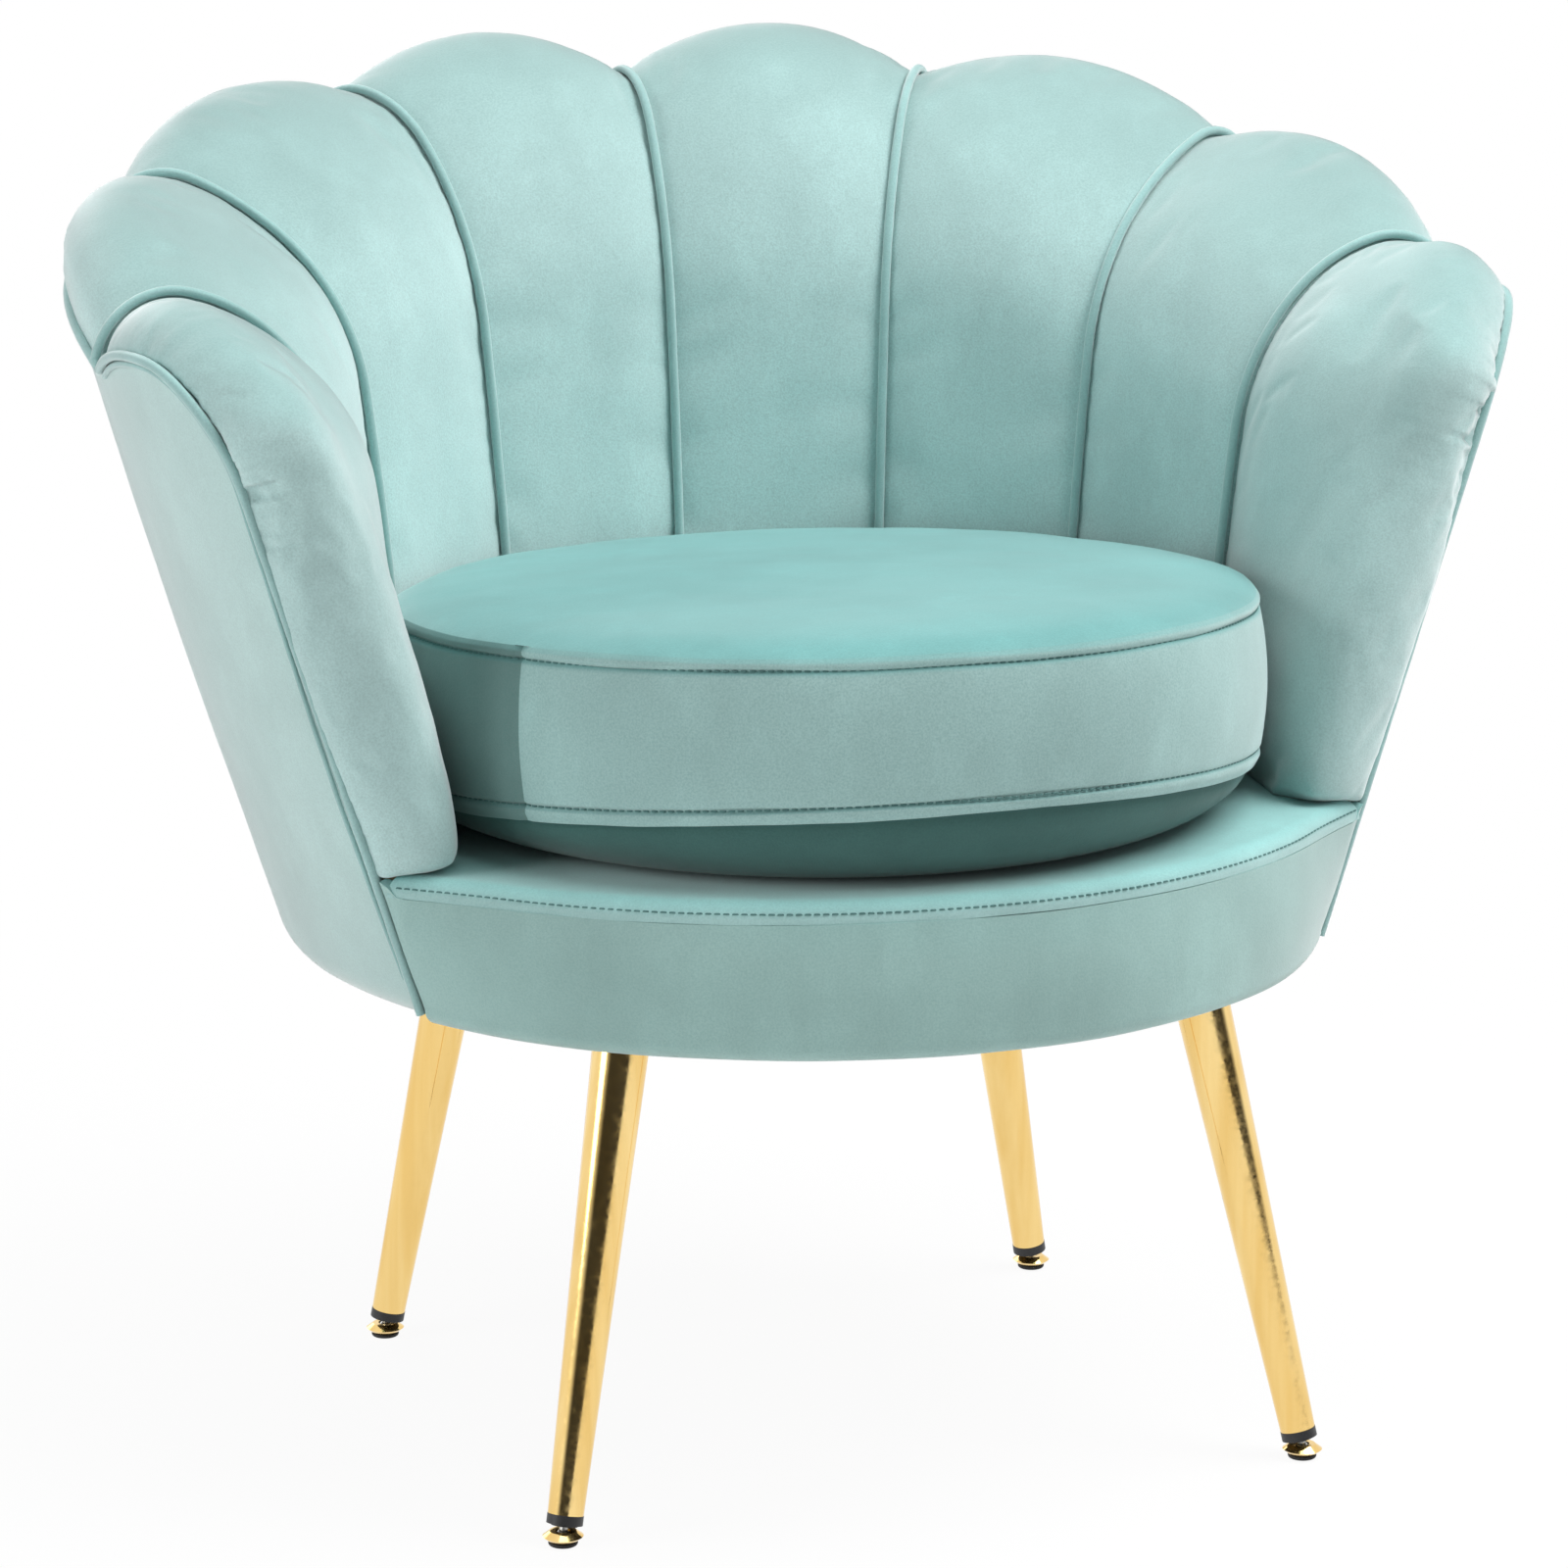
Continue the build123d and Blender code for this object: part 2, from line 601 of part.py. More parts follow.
with BuildPart() as base_board:
    with BuildSketch(Plane.XY.offset(board_bottom)):
        base_outline(seat_back_radius - BOARD_INSET)
    extrude(amount=BOARD_THICK)
    with BuildSketch(Plane.XY.offset(board_bottom)):
        with Locations(*plate_places):
            with GridLocations(*SCREW_GRID, SCREW_COUNT, SCREW_COUNT):
                Circle(SCREW_RADIUS + RUN_GAP)
    extrude(amount=SCREW_LENGTH, mode=Mode.SUBTRACT)
keep("base_board", base_board.part)

with BuildPart() as dust_cover:
    with BuildSketch(Plane.XY.offset(board_bottom - DUST_THICK)):
        base_outline(BASE_RADIUS - TUCK_DEPTH - SOFT_GAP)
        with Locations(*plate_places):
            hole = (PLATE_LENGTH + 2 * DUST_GAP, PLATE_WIDTH + 2 * DUST_GAP)
            RectangleRounded(*hole, PLATE_CORNER, mode=Mode.SUBTRACT)
    extrude(amount=DUST_THICK)
keep("dust_cover", dust_cover.part)

with BuildPart() as leg_screws:
    with BuildSketch(Plane.XY.offset(plate_bottom)):
        with Locations(*plate_places):
            with GridLocations(*SCREW_GRID, SCREW_COUNT, SCREW_COUNT):
                Circle(SCREW_RADIUS)
    extrude(amount=PLATE_THICK + SCREW_LENGTH - RUN_GAP)
    with BuildSketch(Plane.XY.offset(plate_bottom)):
        with Locations(*plate_places):
            with GridLocations(*SCREW_GRID, SCREW_COUNT, SCREW_COUNT):
                Circle(SCREW_HEAD_RADIUS)
    extrude(amount=-SCREW_HEAD)
keep("leg_screws", leg_screws.part)

for leg in RIGHT_LEGS:
    ball = Vector(leg.foot[0], leg.foot[1], BALL_Z)
    head = Vector(leg.top[0], leg.top[1], plate_bottom)
    along = Plane(origin=ball, z_dir=head - ball)
    length = (head - ball).length
    spare = LEG_TOP_RADIUS

    def ring(height, radius):
        """Circle across the leg at a distance from the ball."""
        with BuildSketch(along.offset(height)) as section:
            Circle(radius)
        return section.sketch

    growth = (LEG_TOP_RADIUS - LEG_LOW_RADIUS) / (length - FERRULE_TOP)
    with BuildPart() as leg_tube:
        top_radius = LEG_TOP_RADIUS + growth * spare
        loft([ring(FERRULE_TOP, LEG_LOW_RADIUS), ring(length + spare, top_radius)])
        hollow = [ring(FERRULE_TOP, LEG_LOW_RADIUS - LEG_WALL), ring(length + spare, top_radius - LEG_WALL)]
        loft(hollow, mode=Mode.SUBTRACT)
        split(bisect_by=Plane.XY.offset(plate_bottom), keep=Keep.BOTTOM)
    keep_pair(f"leg_{leg.name}", leg_tube.part)

    with BuildPart() as leg_plate:
        with BuildSketch(Plane.XY.offset(plate_bottom)):
            with Locations(plate_place(leg, 1)):
                RectangleRounded(PLATE_LENGTH, PLATE_WIDTH, PLATE_CORNER)
                with GridLocations(*SCREW_GRID, SCREW_COUNT, SCREW_COUNT):
                    Circle(SCREW_RADIUS + RUN_GAP, mode=Mode.SUBTRACT)
        extrude(amount=PLATE_THICK)
    keep_pair(f"leg_plate_{leg.name}", leg_plate.part)

    bore = STEM_RADIUS + RUN_GAP
    with BuildPart() as ferrule:
        extrude(ring(FERRULE_BOTTOM, FERRULE_NECK_RADIUS), amount=FERRULE_STEP - FERRULE_BOTTOM)
        extrude(ring(FERRULE_STEP, FERRULE_RADIUS), amount=FERRULE_TOP - FERRULE_STEP)
        extrude(ring(FERRULE_TOP, LEG_LOW_RADIUS - LEG_WALL), amount=FERRULE_PLUG)
        extrude(ring(FERRULE_BOTTOM, bore), amount=FERRULE_TOP + FERRULE_PLUG, mode=Mode.SUBTRACT)
    keep_pair(f"ferrule_{leg.name}", ferrule.part)

    with BuildPart() as leveller_stem:
        with Locations(ball):
            Sphere(BALL_RADIUS)
        extrude(ring(0, STEM_NECK_RADIUS), amount=STEM_SHOULDER)
        extrude(ring(STEM_SHOULDER, STEM_RADIUS), amount=STEM_LENGTH - STEM_SHOULDER)
    keep_pair(f"leveller_stem_{leg.name}", leveller_stem.part)

    standing = Axis((leg.foot[0], leg.foot[1], 0), (0, 0, 1))
    upright = Plane(origin=(leg.foot[0], leg.foot[1], 0), x_dir=(1, 0, 0), z_dir=(0, -1, 0))
    with BuildPart() as leveller_cup:
        with BuildSketch(upright):
            with BuildLine():
                Polyline(
                    (CUP_BORE, PAD_HEIGHT),
                    (PAD_RADIUS, PAD_HEIGHT),
                    (CUP_RIM_RADIUS, CUP_RIM_Z),
                    (CUP_NECK_RADIUS, CUP_TOP_Z),
                    (CUP_MOUTH, CUP_TOP_Z),
                    (CUP_MOUTH, CUP_TOP_Z - CUP_TOP_WALL),
                    (CUP_BORE, CUP_TOP_Z - CUP_TOP_WALL),
                    close=True,
                )
            make_face()
        revolve(axis=standing)
    keep_pair(f"leveller_cup_{leg.name}", leveller_cup.part)

    with BuildPart() as leveller_pad:
        with BuildSketch(upright):
            with BuildLine():
                Line((0, 0), (PAD_FLAT_RADIUS, 0))
                TangentArc((PAD_FLAT_RADIUS, 0), (PAD_RADIUS, PAD_HEIGHT - SOFT_GAP), tangent=(1, 0))
                Polyline(
                    (PAD_RADIUS, PAD_HEIGHT - SOFT_GAP),
                    (CUP_BORE - SOFT_GAP, PAD_HEIGHT - SOFT_GAP),
                    (CUP_BORE - SOFT_GAP, BALL_Z),
                    (0, BALL_Z),
                    (0, 0),
                )
            make_face()
        revolve(axis=standing)
        with Locations(ball):
            Sphere(BALL_RADIUS + RUN_GAP, mode=Mode.SUBTRACT)
    keep_pair(f"leveller_pad_{leg.name}", leveller_pad.part)

# Front band between the arms, rolled under at the bottom

band_top = DECK_TOP - BAND_DROP
band_top_radius = DECK_FRONT_RADIUS + BAND_THICK
band_low_radius = BASE_RADIUS + BAND_LOW_OUT
flare_out = ARM_STATIONS[-1].outer(band_top)
flare_in = sqrt(band_low_radius ** 2 - ARM_PAD_END ** 2) - SOFT_GAP
flare_y = ARM_PAD_END + BAND_FLARE
flare_x = sqrt(band_top_radius ** 2 - (DECK_FRONT_CENTRE_Y + flare_y) ** 2) - FLARE_INSET
flare_end = Vertex(flare_x, -flare_y, band_top - FLARE_INSET)
with BuildPart() as front_band:
    with BuildSketch(Plane.XY.offset(BASE_Z)):
        Circle(band_low_radius)
    extrude(amount=BAND_ROUND)
    fillet(front_band.edges().group_by(Axis.Z)[0], BAND_ROUND - SOFT_GAP)
    with BuildSketch(Plane.XY.offset(BASE_Z + BAND_ROUND)):
        Circle(band_low_radius)
    with BuildSketch(Plane.XY.offset(band_top)):
        with Locations((0, DECK_FRONT_CENTRE_Y)):
            Circle(band_top_radius)
    loft()
    with BuildSketch(Plane.XY.offset(BASE_Z)):
        seat_outline(DECK_FRONT_RADIUS + SOFT_GAP, seat_back_radius + SOFT_GAP)
    extrude(amount=band_top - BASE_Z, mode=Mode.SUBTRACT)
    split(bisect_by=Plane.XZ.offset(ARM_PAD_END), keep=Keep.TOP)
    with BuildSketch(arm_plane(ARM_PAD_END)) as flare:
        with BuildLine():
            Polyline((flare_in, BASE_Z + BAND_ROUND), (flare_out, band_top), (flare_in, band_top), close=True)
        make_face()
    loft([flare.sketch, flare_end])
    mirror(about=Plane.YZ)
keep("front_band", front_band.part)

# Move the origin to the middle of the footprint and write each piece

boxes = [part.bounding_box() for part in pieces.values()]
middle_y = (min(box.min.Y for box in boxes) + max(box.max.Y for box in boxes)) / 2
os.makedirs("parts", exist_ok=True)
for name, part in pieces.items():
    placed = Pos(0, -middle_y, 0) * part
    placed.label = name
    export_step(placed, f"parts/{name}.step")
print(f"seat axis at y = {-middle_y:.3f}")
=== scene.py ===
"""Looks of the scalloped tub armchair: velvet over the CAD solids, gold legs, a plain studio."""

from math import atan2, cos, exp, hypot, pi, radians, sin, sqrt, tan, tanh

import bpy
import bmesh
import numpy as np
from mathutils import Matrix, Vector, kdtree, noise


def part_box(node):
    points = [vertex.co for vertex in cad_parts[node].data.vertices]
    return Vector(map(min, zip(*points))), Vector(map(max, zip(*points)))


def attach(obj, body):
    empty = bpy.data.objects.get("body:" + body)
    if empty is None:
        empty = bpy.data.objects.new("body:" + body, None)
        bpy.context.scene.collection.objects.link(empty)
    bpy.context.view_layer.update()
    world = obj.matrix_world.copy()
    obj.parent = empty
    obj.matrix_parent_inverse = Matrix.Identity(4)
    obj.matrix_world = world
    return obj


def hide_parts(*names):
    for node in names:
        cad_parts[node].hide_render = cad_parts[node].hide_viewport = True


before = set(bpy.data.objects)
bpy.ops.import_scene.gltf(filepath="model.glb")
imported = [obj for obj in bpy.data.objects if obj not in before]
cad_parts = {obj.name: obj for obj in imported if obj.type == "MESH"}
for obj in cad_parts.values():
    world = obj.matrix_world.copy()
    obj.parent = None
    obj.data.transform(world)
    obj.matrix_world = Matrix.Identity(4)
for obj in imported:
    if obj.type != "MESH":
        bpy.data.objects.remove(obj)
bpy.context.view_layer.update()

# Sizes in metres, as in the part's source
SEAT_Y = sum(v.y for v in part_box("piping_3_right")) / 2  # upright axis of the shell and its legs
BASE_Z = 0.271
BASE_RADIUS = 0.295
SIDE_LEAN = 17.4  # degrees
SIDE_SLOPE = tan(radians(SIDE_LEAN))
BACK_SLOPE = tan(radians(10.2))
WALL_CENTRE = -0.039
WALL_RADIUS = 0.2565
WALL_SLOPE = tan(radians(5.3))
KNEE_SHARE = 0.65  # height of a wall's knee, as a share of the wall
SHOULDER = (0.044, 0.025)  # how far the shoulder lies inside and below the ridge
LINING = 0.0172  # from the outer line in to the back of the pads
DECK_TOP = 0.357
FOOT_Z = 0.3573
FOOT_LEAN = 3.0  # lean of a pad at its foot, in degrees
PIPING_ANGLES = (0.0, 31.5, 62.0, 90.0)
RIDGES = (0.7325, 0.7295, 0.6965, 0.654)
CROWN_RIDGES = (0.029, 0.024, 0.019)
CROWN_WELTS = (0.020, 0.014, 0.010)
CROWN_FOOT = 0.003
CROWN_WALL = 0.010
ROLL_WIDTH = 0.049
WELT_DROP = 0.036
ARM_WELT = 0.133  # how far forward of the axis the arms' front welts stand
ARM_PAD = 0.13655
ARM_CROWN_WELT = 0.016
ARM_TURN_FROM = 0.085  # where the arm's welt starts to turn down
ARM_TURN_DROP = 0.070
NOSE_FROM = 0.115
NOSE_RAKE = 0.112
NOSE_POWER = 1.5
NOSE_INSET = 0.026
NOSE_TIP = 0.158
NOSE_SPARE = 0.004  # the arm's curves end this far past its edge
ARM_RISE = 0.005
ARM_DROP = 0.085
ARM_DROP_FROM = 0.035
CORD = 0.00275
CORD_WOBBLE = 0.05
WELT_OUT = 0.0016  # how far the welts' middles stand outside the outer line
FULLNESS = 2.5  # how squarely a petal fills out between its seams
HANDS = (("right", 1), ("left", -1))


def clamped(share):
    return min(1.0, max(0.0, share))


def eased(share):
    """Smooth step from 0 to 1."""
    share = clamped(share)
    return share * share * (3 - 2 * share)


def ramp(value, start, width):
    """Straight line that rises from 0 at the start to 1 a width further on, and goes on beyond both."""
    return (value - start) / width


def flipped(path, flip=-1):
    """A path mirrored to the left, or as it is where flip is 1."""
    return [Vector((flip * p.x, p.y, p.z)) for p in path]


def tree_of(path):
    """Search tree of a path's points."""
    tree = kdtree.KDTree(len(path))
    for i, point in enumerate(path):
        tree.insert(point, i)
    tree.balance()
    return tree


# Plan and profile

def side_reach(z):
    return BASE_RADIUS + SIDE_SLOPE * (z - BASE_Z)


def back_reach(z):
    return BASE_RADIUS + BACK_SLOPE * (z - BASE_Z)


def circle_reach(angle, centre_y, radius):
    """Distance from the axis to a circle centred on Y, at an angle from the back."""
    return centre_y * cos(angle) + sqrt(radius ** 2 - (centre_y * sin(angle)) ** 2)


def radial(angle):
    """Placer for a radial plane at an angle from the back, in radians."""
    return lambda r, z: Vector((r * sin(angle), r * cos(angle) + SEAT_Y, z))


def across(forward):
    """Placer for a plane across the right arm."""
    return lambda r, z: Vector((r, SEAT_Y - forward, z))


def arc_chain(points, angle, counts):
    """Points along tangent arcs, leaving the first point at an angle from upright; angles lean outwards."""
    line = [points[0]]
    for (x0, z0), (x1, z1), count in zip(points, points[1:], counts):
        chord, lean = hypot(x1 - x0, z1 - z0), atan2(x1 - x0, z1 - z0)
        half = lean - angle
        for step in range(1, count + 1):
            share = step / count
            reach = chord * (sin(half * share) / sin(half) if abs(half) > 1e-6 else share)
            line.append((x0 + reach * sin(angle + half * share), z0 + reach * cos(angle + half * share)))
        angle += 2 * half
    return line


PROFILE_STEPS = (34, 14, 10, 12)


class Column:
    """One upright section of the shell: where it stands, its outer line, its pad's points and its welt."""

    def __init__(self, place, outer, foot, knee, shoulder, ridge, welt, slot=1.0):
        self.place, self.outer, self.welt, self.slot = place, outer, welt, slot
        self.lean = FOOT_LEAN
        self.points = [foot, knee, shoulder, ridge]

    def pad_line(self, edge=0.0008):
        points = self.points + [(self.welt[0], self.welt[1] + edge * self.slot)]
        return arc_chain(points, radians(self.lean), PROFILE_STEPS)


def rounding(distance, start, end, power=2):
    """Quarter ellipse, or another power's curve, that falls from 1 at the start to 0 at the end."""
    return max(0.0, 1 - (max(0.0, distance - start) / (end - start)) ** power) ** (1 / power)


def wall_points(foot, top_z, edge, crown):
    """Knee, shoulder and ridge of a pad's section."""
    rise = KNEE_SHARE * (top_z - FOOT_Z)
    ridge = (edge - ROLL_WIDTH, top_z)
    knee = (foot + WALL_SLOPE * rise - crown, FOOT_Z + rise)
    return knee, (ridge[0] - SHOULDER[0], top_z - SHOULDER[1]), ridge


def petal_column(index, t):
    """Section of a petal of the back on the right, t from valley to valley."""
    angle = radians(PIPING_ANGLES[index] + t * (PIPING_ANGLES[index + 1] - PIPING_ANGLES[index]))
    full = 1 - abs(2 * t - 1) ** FULLNESS
    soft = 1 - abs(2 * t - 1) ** 2.0
    base = RIDGES[index] + t * (RIDGES[index + 1] - RIDGES[index])

    def outer(z):
        return 1 / hypot(sin(angle) / side_reach(z), cos(angle) / back_reach(z))

    welt_z = base - WELT_DROP + soft * CROWN_WELTS[index]
    welt = (outer(welt_z), welt_z)
    foot = circle_reach(angle, WALL_CENTRE, WALL_RADIUS)
    knee, shoulder, ridge = wall_points(foot, base + soft * CROWN_RIDGES[index], welt[0], full * CROWN_WALL)
    return Column(radial(angle), outer, (foot - full * CROWN_FOOT, FOOT_Z), knee, shoulder, ridge, welt)


def arm_crown(forward):
    """How full the arm's pad is between its two seams, from 0 to 1."""
    share = forward / ARM_PAD
    return 4 * share * (1 - share)


def arm_welt_z(forward):
    """Height of the welt along the arm, which turns down towards the front."""
    turn_down = 1 - rounding(forward, ARM_TURN_FROM, ARM_PAD + NOSE_SPARE)
    return RIDGES[-1] - WELT_DROP + ARM_CROWN_WELT * arm_crown(forward) - ARM_TURN_DROP * turn_down


def arm_column(forward):
    """Section across the right arm."""
    crown = arm_crown(forward)
    welt_y = min(forward, ARM_PAD)
    welt_z = arm_welt_z(welt_y)
    slot = hypot(1, (welt_z - arm_welt_z(welt_y - 0.001)) / 0.001)

    def outer(z):
        return side_reach(z) * sqrt(1 - (forward / back_reach(z)) ** 2)

    top_z = RIDGES[-1] + ARM_RISE * crown
    top_z -= ARM_DROP * (1 - rounding(forward, ARM_DROP_FROM, NOSE_TIP + NOSE_SPARE))
    foot = sqrt(WALL_RADIUS ** 2 - (forward + WALL_CENTRE) ** 2)
    knee, shoulder, ridge = wall_points(foot, top_z, outer(top_z - WELT_DROP), crown * CROWN_WALL)

    def middle(z):
        return outer(min(z, welt_z)) - NOSE_INSET

    def slim(z):
        start = NOSE_FROM - NOSE_RAKE * (z - FOOT_Z) / (top_z - FOOT_Z)
        return rounding(forward, start, NOSE_TIP, NOSE_POWER)

    points = [(foot - crown * CROWN_FOOT, FOOT_Z), knee, shoulder, ridge]
    points = [(middle(z) + slim(z) * (x - middle(z)), z) for x, z in points]
    column = Column(across(forward), outer, *points, (outer(welt_z), welt_z), slot)
    column.middle = middle
    column.lean = FOOT_LEAN + (1 - slim(FOOT_Z)) * (SIDE_LEAN - FOOT_LEAN)
    return column


# Mesh helpers

def new_object(name, vertices, faces, material, crease=60):
    """Smooth mesh object with one material; edges sharper than crease degrees stay sharp."""
    mesh = bpy.data.meshes.new(name)
    mesh.from_pydata([tuple(v) for v in vertices], [], faces)
    work = bmesh.new()
    work.from_mesh(mesh)
    bmesh.ops.recalc_face_normals(work, faces=work.faces)
    work.to_mesh(mesh)
    work.free()
    mesh.shade_smooth()
    mesh.set_sharp_from_angle(angle=radians(crease))
    mesh.materials.append(material)
    obj = bpy.data.objects.new(name, mesh)
    bpy.context.scene.collection.objects.link(obj)
    return obj


def weld(obj):
    """Join the vertices of a mesh that lie in one place."""
    work = bmesh.new()
    work.from_mesh(obj.data)
    bmesh.ops.remove_doubles(work, verts=work.verts, dist=0.00005)
    work.to_mesh(obj.data)
    work.free()


def loop_grid(rows, closed=True, caps=True):
    """Vertices and faces through equal rows of points: each row a loop, the ends capped."""
    width = len(rows[0])
    vertices = [point for row in rows for point in row]
    faces = []
    for r in range(len(rows) - 1):
        for c in range(width if closed else width - 1):
            d = (c + 1) % width
            faces.append((r * width + c, r * width + d, (r + 1) * width + d, (r + 1) * width + c))
    if caps:
        faces.append(tuple(reversed(range(width))))
        faces.append(tuple(range((len(rows) - 1) * width, len(rows) * width)))
    return vertices, faces


def swell(obj, height):
    """Move each vertex along its normal by height(position)."""
    moves = [(v, v.co + v.normal * height(v.co)) for v in obj.data.vertices]
    for vertex, place in moves:
        vertex.co = place
    obj.data.update()


def puff(items, frames=20):
    """Blow pads up as cloth held at its seams: (object, held vertices, pressure, growth, cap in metres)."""
    scene = bpy.context.scene
    for obj, held, pressure, growth, cap in items:
        group = obj.vertex_groups.new(name="held")
        group.add(held, 1.0, "REPLACE")
        cloth = obj.modifiers.new("cloth", "CLOTH")
        made = cloth.settings
        made.quality = 5
        made.mass = 0.25
        made.tension_stiffness = made.compression_stiffness = 18
        made.shear_stiffness = 8
        made.bending_stiffness = 1.0
        made.use_pressure = True
        made.uniform_pressure_force = pressure
        made.effector_weights.gravity = 0
        made.vertex_group_mass = "held"
        made.shrink_min = -growth
        cloth.collision_settings.use_collision = False
        cloth.point_cache.frame_start = 1
        cloth.point_cache.frame_end = frames
    for step in range(1, frames + 1):
        scene.frame_set(step)
    graph = bpy.context.evaluated_depsgraph_get()
    for obj, held, pressure, growth, cap in items:
        moved = [vertex.co.copy() for vertex in obj.evaluated_get(graph).data.vertices]
        obj.modifiers.remove(obj.modifiers["cloth"])
        obj.vertex_groups.remove(obj.vertex_groups["held"])
        for vertex, place in zip(obj.data.vertices, moved):
            move = place - vertex.co
            if move.length > 1e-9:
                vertex.co += move * (cap * tanh(move.length / cap) / move.length)
        obj.data.update()
    scene.frame_set(1)


def gather(obj, path, seed, depth, reach=0.014, pitch=0.0075, patches=0.06, middle=0.19):
    """Pull the cloth of a pad into small creases square to a seam, deeper in some places than in others."""
    tree = tree_of(path)
    travelled = [0.0]
    for a, b in zip(path, path[1:]):
        travelled.append(travelled[-1] + (b - a).length)

    def height(p):
        i, away = tree.find(p)[1:]
        if away > 4 * reach:
            return 0.0
        strength = 0.1 + max(0.0, noise.noise(Vector((travelled[i] / patches, seed, 0.5))))
        strength += 1.2 * exp(-((travelled[i] - middle) / 0.03) ** 2)
        fold = noise.noise(Vector((travelled[i] / pitch, away / 0.05, seed)))
        hem = 1 - exp(-(away / 0.006) ** 2)  # the seam itself stays under its cord
        return -depth * strength * hem * exp(-away / reach) * (0.5 + fold)

    swell(obj, height)


def rebuild(obj, tool, **settings):
    """Give a piece the mesh that a modifier makes of it."""
    modifier = obj.modifiers.new("rebuild", tool)
    for key, value in settings.items():
        setattr(modifier, key, value)
    mesh = bpy.data.meshes.new_from_object(obj.evaluated_get(bpy.context.evaluated_depsgraph_get()))
    obj.modifiers.remove(modifier)
    mesh.materials.clear()
    mesh.materials.append(obj.data.materials[0])
    mesh.name = obj.name
    mesh.shade_smooth()
    obj.data = mesh


def soften(obj, freedom, passes):
    """Round a mesh off; freedom(position) says how far each point follows its neighbours, from 0 to 1."""
    mesh = obj.data
    places = np.array([tuple(vertex.co) for vertex in mesh.vertices])
    ends = np.array([tuple(edge.vertices) for edge in mesh.edges])
    free = 0.5 * np.array([freedom(vertex.co) for vertex in mesh.vertices])[:, None]
    degree = np.bincount(ends.ravel(), minlength=len(places))[:, None]
    for step in range(passes):
        total = np.zeros_like(places)
        np.add.at(total, ends[:, 0], places[ends[:, 1]])
        np.add.at(total, ends[:, 1], places[ends[:, 0]])
        places = places + free * (total / degree - places)
    for vertex, place in zip(mesh.vertices, places):
        vertex.co = place
    mesh.update()


def hills(point, scale, seed=0.0):
    """Smooth noise from about -1 to 1, with bumps about scale metres across."""
    return noise.noise(Vector(point) / scale + Vector((seed, 3.1 * seed, -1.7 * seed)))


def mirrored(name, obj):
    """A left-hand twin of a right-hand piece."""
    twin = obj.copy()
    twin.data = obj.data.copy()
    twin.name = twin.data.name = name
    twin.data.transform(Matrix.Scale(-1, 4, (1, 0, 0)))
    twin.data.flip_normals()
    bpy.context.scene.collection.objects.link(twin)
    return twin


def tube(name, path, radius, material, sides=12, wobble=0.0):
    """Round cord along a path, with its ends closed."""
    rows = []
    side = (path[1] - path[0]).normalized().orthogonal().normalized()
    for i, point in enumerate(path):
        before, after = path[max(i - 1, 0)], path[min(i + 1, len(path) - 1)]
        turned = (after - before).normalized()
        side = (side - turned * side.dot(turned)).normalized()
        up = turned.cross(side)
        r = radius * (1 + wobble * hills(point, 0.012, 5.0))
        turns = [2 * pi * k / sides for k in range(sides)]
        rows.append([point + (side * cos(turn) + up * sin(turn)) * r for turn in turns])
    return new_object(name, *loop_grid(rows), material)


def along(path, pitch):
    """Points and directions at equal steps along a path."""
    places, carried = [], pitch / 2
    for a, b in zip(path, path[1:]):
        length = (b - a).length
        while carried <= length:
            places.append((a + (b - a) * (carried / length), (b - a).normalized()))
            carried += pitch
        carried -= length
    return places


def stitching(name, path, outward, material, pitch=0.0048, length=0.0034, thick=0.0005, sides=5):
    """A row of short sewn stitches that lie on the cloth along a path, outward(point) being away from it."""
    profile = ((-0.5, -0.4), (-0.3, 0.8), (0.3, 0.8), (0.5, -0.4))  # shares of the length and the thickness
    vertices, faces = [], []
    for point, ahead in along(path, pitch):
        out = outward(point)
        side = ahead.cross(out).normalized()
        first = len(vertices)
        for lengthwise, rise in profile:
            centre = point + ahead * (length * lengthwise) + out * (thick * rise)
            for k in range(sides):
                turn = 2 * pi * k / sides
                vertices.append(centre + (side * cos(turn) + out * sin(turn)) * thick)
        for ring in range(len(profile) - 1):
            for k in range(sides):
                a, b = first + ring * sides + k, first + ring * sides + (k + 1) % sides
                faces.append((a, b, b + sides, a + sides))
    return new_object(name, vertices, faces, material)


# Materials

class Graph:
    """Short way to add and join shader nodes."""

    def __init__(self, tree):
        self.tree = tree

    def add(self, kind, links=(), **values):
        node = self.tree.nodes.new(kind)
        for key, value in values.items():
            if key in node.inputs:
                node.inputs[key].default_value = value
            else:
                setattr(node, key, value)
        for socket, source in links:
            self.tree.links.new(source, node.inputs[socket])
        return node

    def spread(self, source, low, high, to_low=0.0, to_high=1.0, curve="LINEAR"):
        """Map values from low..high to another range, held at its ends."""
        node = self.add("ShaderNodeMapRange", [("Value", source)], interpolation_type=curve)
        for key, value in zip(("From Min", "From Max", "To Min", "To Max"), (low, high, to_low, to_high)):
            node.inputs[key].default_value = value
        return node.outputs["Result"]

    def math(self, operation, first, second):
        return self.add("ShaderNodeMath", [(0, first), (1, second)], operation=operation).outputs[0]

    def seen_white(self):
        """1 for camera, glossy and transmission rays, which see the studio as plain white."""
        path = self.add("ShaderNodeLightPath").outputs
        seen = self.math("MAXIMUM", path["Is Camera Ray"], path["Is Glossy Ray"])
        return self.math("MAXIMUM", seen, path["Is Transmission Ray"])

    def choose(self, factor, first, second, output):
        """Send a mix of two shaders to an output."""
        mixed = self.add("ShaderNodeMixShader", [(0, factor), (1, first), (2, second)])
        self.tree.links.new(mixed.outputs[0], self.tree.nodes[output].inputs["Surface"])


